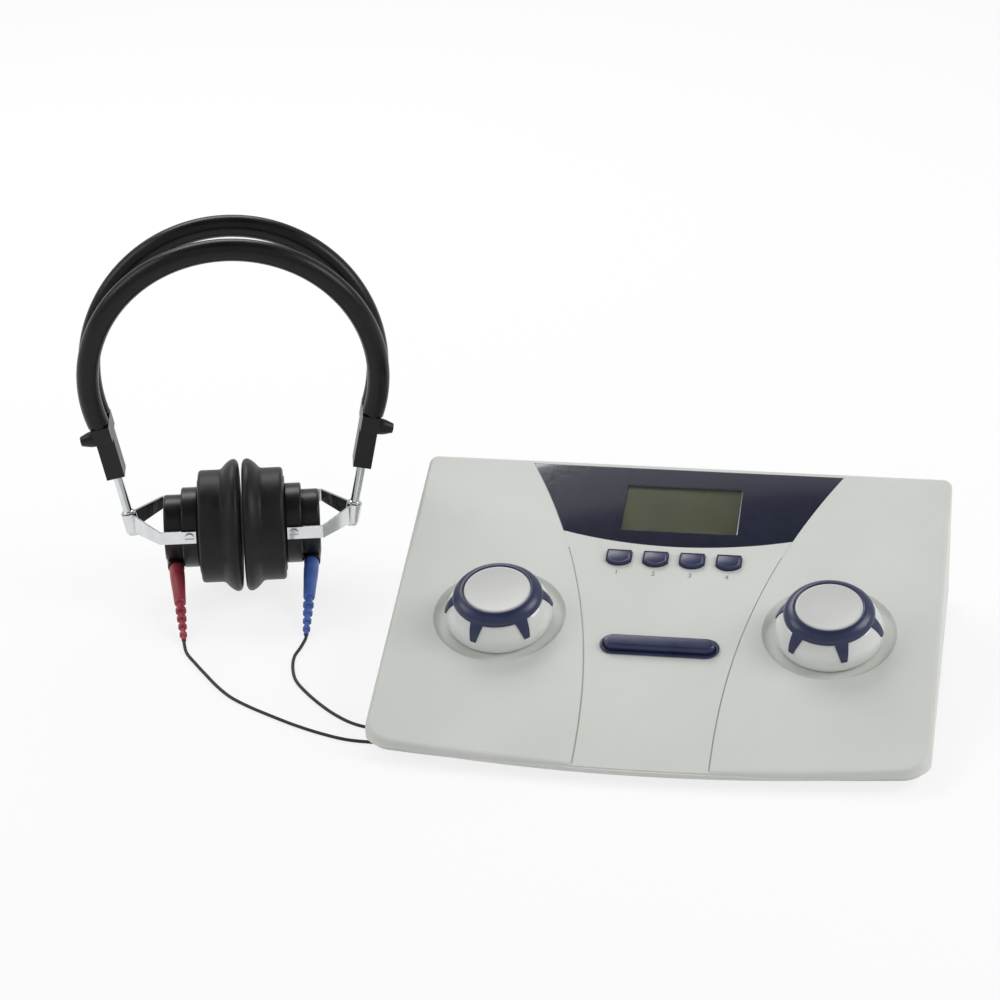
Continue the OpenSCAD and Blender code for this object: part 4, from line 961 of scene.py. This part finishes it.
def make_blocks():
    """The blocks that join the bands, their edges broken so that they catch the light"""
    piece = copy_of("end_blocks", "band_blocks")
    softened(piece, 0.0006, 3, 35)
    dress(flat_faced(piece, 40), black_plastic, "console", "black_plastic", "end_blocks")


make_blocks()


def make_side(side):
    """The metalwork, case and cushion of one earphone"""
    sign = SIDES[side]
    screw = [(0, 2.8), (2, 2.8), (2, 5.2), (2.2, 5.3), (4.2, 5.3), (4.45, 5.6), (4.5, 6.2)]
    screw += [(4.4, 7.6), (4.1, 9), (3.6, 10.6), (3.1, 12), (2.8, 13), (2.6, 13.4), (2.2, 13.6), (0, 13.6)]
    thumb = spun(f"{side}_thumb_grip", screw, 48)
    placed(thumb, on_rod(side) @ shift(0, 0, 53) @ turn(90, "Y"))
    dress(smooth(thumb, 40), black_plastic, f"{side}_thumb_screw", "black_plastic", f"{side}_thumb_screw")

    piece = copy_of(f"{side}_yoke", f"{side}_fork")
    softened(piece, 0.00025, 2, 40)
    dress(flat_faced(piece), chrome, f"{side}_yoke", "chrome", f"{side}_yoke")
    piece = copy_of(f"{side}_rod", f"{side}_slide")
    softened(piece, 0.0003, 2, 40)
    dress(smooth(piece, 35), chrome, f"{side}_rod", "chrome", f"{side}_rod")

    case = [(0, 23.9), (21, 23.9), (21.6, 24), (21.9, 24.3), (22, 24.9), (22, 31.7)]
    case += [(21.85, 32.3), (21.4, 32.7), (20.8, 32.8), (0, 32.8)]
    shell = spun(f"{side}_case_shell", case, 112)
    placed(shell, on_ear_axis(side))
    dress(smooth(shell, 40), case_black, f"{side}_ear", "black_plastic")

    back = [(0, 32.85), (18.1, 32.85), (18.3, 33.1), (18.3, 41.2), (18.15, 41.9), (17.7, 42.4)]
    back += [(17.1, 42.6), (15.2, 42.6), (14.7, 42.5), (14.5, 42.1), (0, 42.1)]
    lid = spun(f"{side}_back_shell", back, 112)
    placed(lid, on_ear_axis(side))
    dress(smooth(lid, 40), case_black, f"{side}_ear", "black_plastic")

    lip = [(11.2, 6.2), (11.7, 5.0), (12.9, 4.0), (15, 3.1), (18.2, 2.3), (21, 1.7), (24.1, 1.2)]
    lip += [(27, 0.9), (29.2, 0.8), (32, 0.85), (34.2, 1.1), (35.5, 1.7), (36.3, 2.6)]
    lip += [(36.5, 3.7), (36.3, 4.8), (35.6, 6.1), (34.7, 7.3), (33.7, 8.4), (32.7, 9.3)]
    lip += [(31.9, 10.0), (31.4, 10.6), (31.1, 11.4), (31, 12.4)]
    lip += [(31, 14), (31, 16), (31, 18), (31, 20), (31, 21.4), (30.8, 22.2), (30.3, 22.8)]
    lip += [(29.5, 23.15), (28.6, 23.2), (26.2, 23.2), (26.2, 8.2), (11.2, 8.2), (11.2, 6.2)]
    pad = spun(f"{side}_ear_pad", lip, 128)
    placed(pad, on_ear_axis(side))
    dress(smooth(pad, 50), cushion_rubber, f"{side}_ear", "black_rubber", f"{side}_cushion")


for side in SIDES:
    make_side(side)


def make_boot(side, colour, finish):
    """A strain relief: a plain tapered body, and a stem with four ribs round the lead"""
    profile = [(0, 0), (3.5, 0), (3.9, 0.2), (4.1, 0.7), (4.1, 8), (3.95, 12), (3.6, 19)]
    profile += [(3.3, 26), (3.2, 28.5), (3.1, 29.1), (2.8, 29.5), (1.9, 29.7)]
    for k in range(4):
        z = 29.5 + 6.304 * (k + 0.6)
        r = 2.95 - 0.3 * k
        stem = 1.5 - 0.04 * k
        profile += [(stem, z + 0.2), (stem + 0.15, z + 0.5), (r - 0.2, z + 0.5), (r, z + 0.8)]
        profile += [(r, z + 2.7), (r - 0.2, z + 3.0), (stem, z + 3.07), (stem - 0.04, z + 3.5)]
    profile += [(1.4, 56), (1.35, 58.1), (1.2, 58.5), (0, 58.5)]
    piece = placed(spun(f"{colour}_relief", profile, 40), on_boot(side))
    dress(smooth(piece, 40), finish, f"{side}_ear", f"{colour}_rubber", f"{colour}_boot")


make_boot("left", "red", red_rubber)
make_boot("right", "blue", blue_rubber)


# ---------- parts that keep their own shape ----------

repaint(black_plastic, "rear_panel", "power_inlet", "rocker_housing", "power_rocker")
repaint(case_black, "left_case", "right_case", "left_back_cap", "right_back_cap")
repaint(case_black, "key_switches", "tone_switches")
repaint(steel, "housing_screws", "board_screws", "encoders", "headset_socket", "response_socket")
repaint(steel, "left_shaft", "right_shaft", "band_wires")
repaint(chrome, "left_pivots", "right_pivots")
repaint(gold, "left_driver", "right_driver")
repaint(board_green, "panel_board", "main_board")
repaint(lcd_olive, "lcd_cell")
repaint(foot_rubber, "feet")


# ---------- studio ----------


def make_floor():
    """A plain pale floor, which takes the object's shadow"""
    deselect()
    bpy.ops.mesh.primitive_grid_add(x_subdivisions=8, y_subdivisions=8, size=14, location=(0, 0, 0))
    floor = named("floor")
    material = bpy.data.materials.new("floor_paper")
    material.use_nodes = True
    tree = material.node_tree
    shader = tree.nodes["Principled BSDF"]
    place = add(tree, "TexCoord").outputs["Object"]
    tooth = grain(tree, place, 0.8, Detail=2.0)
    shader.inputs["Base Color"].default_value = linear("#FAFAFA")
    shader.inputs["Roughness"].default_value = 0.9
    bumped(tree, shader, tooth, 0.01)
    glow = add(tree, "Emission", Color=(1, 1, 1, 1), Strength=1.0)
    path = add(tree, "LightPath")
    seen = add(tree, "Math", operation="MAXIMUM", _0=path.outputs["Is Camera Ray"], _1=path.outputs["Is Glossy Ray"])
    seen = add(tree, "Math", operation="MAXIMUM", _0=seen.outputs[0], _1=path.outputs["Is Transmission Ray"])
    share = add(tree, "Math", operation="MULTIPLY", _0=seen.outputs[0], _1=0.8)
    mix = add(tree, "MixShader", _0=share.outputs[0], _1=shader.outputs[0], _2=glow.outputs[0])
    tree.links.new(mix.outputs[0], tree.nodes["Material Output"].inputs["Surface"])
    floor.data.materials.append(material)


WALL_LIGHT, CEILING_LIGHT = 0.6, 0.12


def softbox(name, size, place, aim, power, tint="#FFFFFF"):
    """A large soft lamp that looks at a point"""
    data = bpy.data.lights.new(name, "AREA")
    data.shape = "RECTANGLE"
    data.size, data.size_y = size
    data.energy = power
    data.color = linear(tint)[:3]
    lamp = bpy.data.objects.new(name, data)
    bpy.context.scene.collection.objects.link(lamp)
    look = Vector(aim) - Vector(place)
    lamp.matrix_world = shift(*place) @ look.to_track_quat("-Z", "Y").to_matrix().to_4x4()


def make_light():
    """Softboxes left, right and behind, in a pale room whose ceiling is dark"""
    middle = (0, 0.05, 0.06)
    softbox("left_box", (0.7, 0.9), (-1.5, -0.1, 1.1), middle, 5)
    softbox("right_box", (0.7, 0.9), (1.4, 0.2, 1.1), middle, 10)
    softbox("back_box", (1.0, 0.5), (-0.5, 0.9, 1.1), middle, 8)
    world = bpy.data.worlds.new("studio")
    bpy.context.scene.world = world
    world.use_nodes = True
    tree = world.node_tree
    tree.nodes.clear()
    path = add(tree, "LightPath")
    way = add(tree, "TexCoord").outputs["Generated"]
    up = add(tree, "SeparateXYZ", Vector=way).outputs["Z"]
    # The ceiling starts at a height of 58 degrees, and shows as a border in the window
    edge = dict(From_Min=0.8420, From_Max=0.8430, To_Min=WALL_LIGHT, To_Max=CEILING_LIGHT)
    strength = add(tree, "MapRange", Value=up, **edge).outputs["Result"]
    room = add(tree, "Background", Color=linear("#F4F6F8"), Strength=strength)
    white = add(tree, "Background", Color=(1, 1, 1, 1), Strength=1.0)
    mix = add(tree, "MixShader", _0=path.outputs["Is Camera Ray"], _1=room.outputs[0], _2=white.outputs[0])
    out = add(tree, "OutputWorld")
    tree.links.new(mix.outputs[0], out.inputs["Surface"])


make_floor()
make_light()
bpy.context.scene.view_settings.view_transform = "Standard"
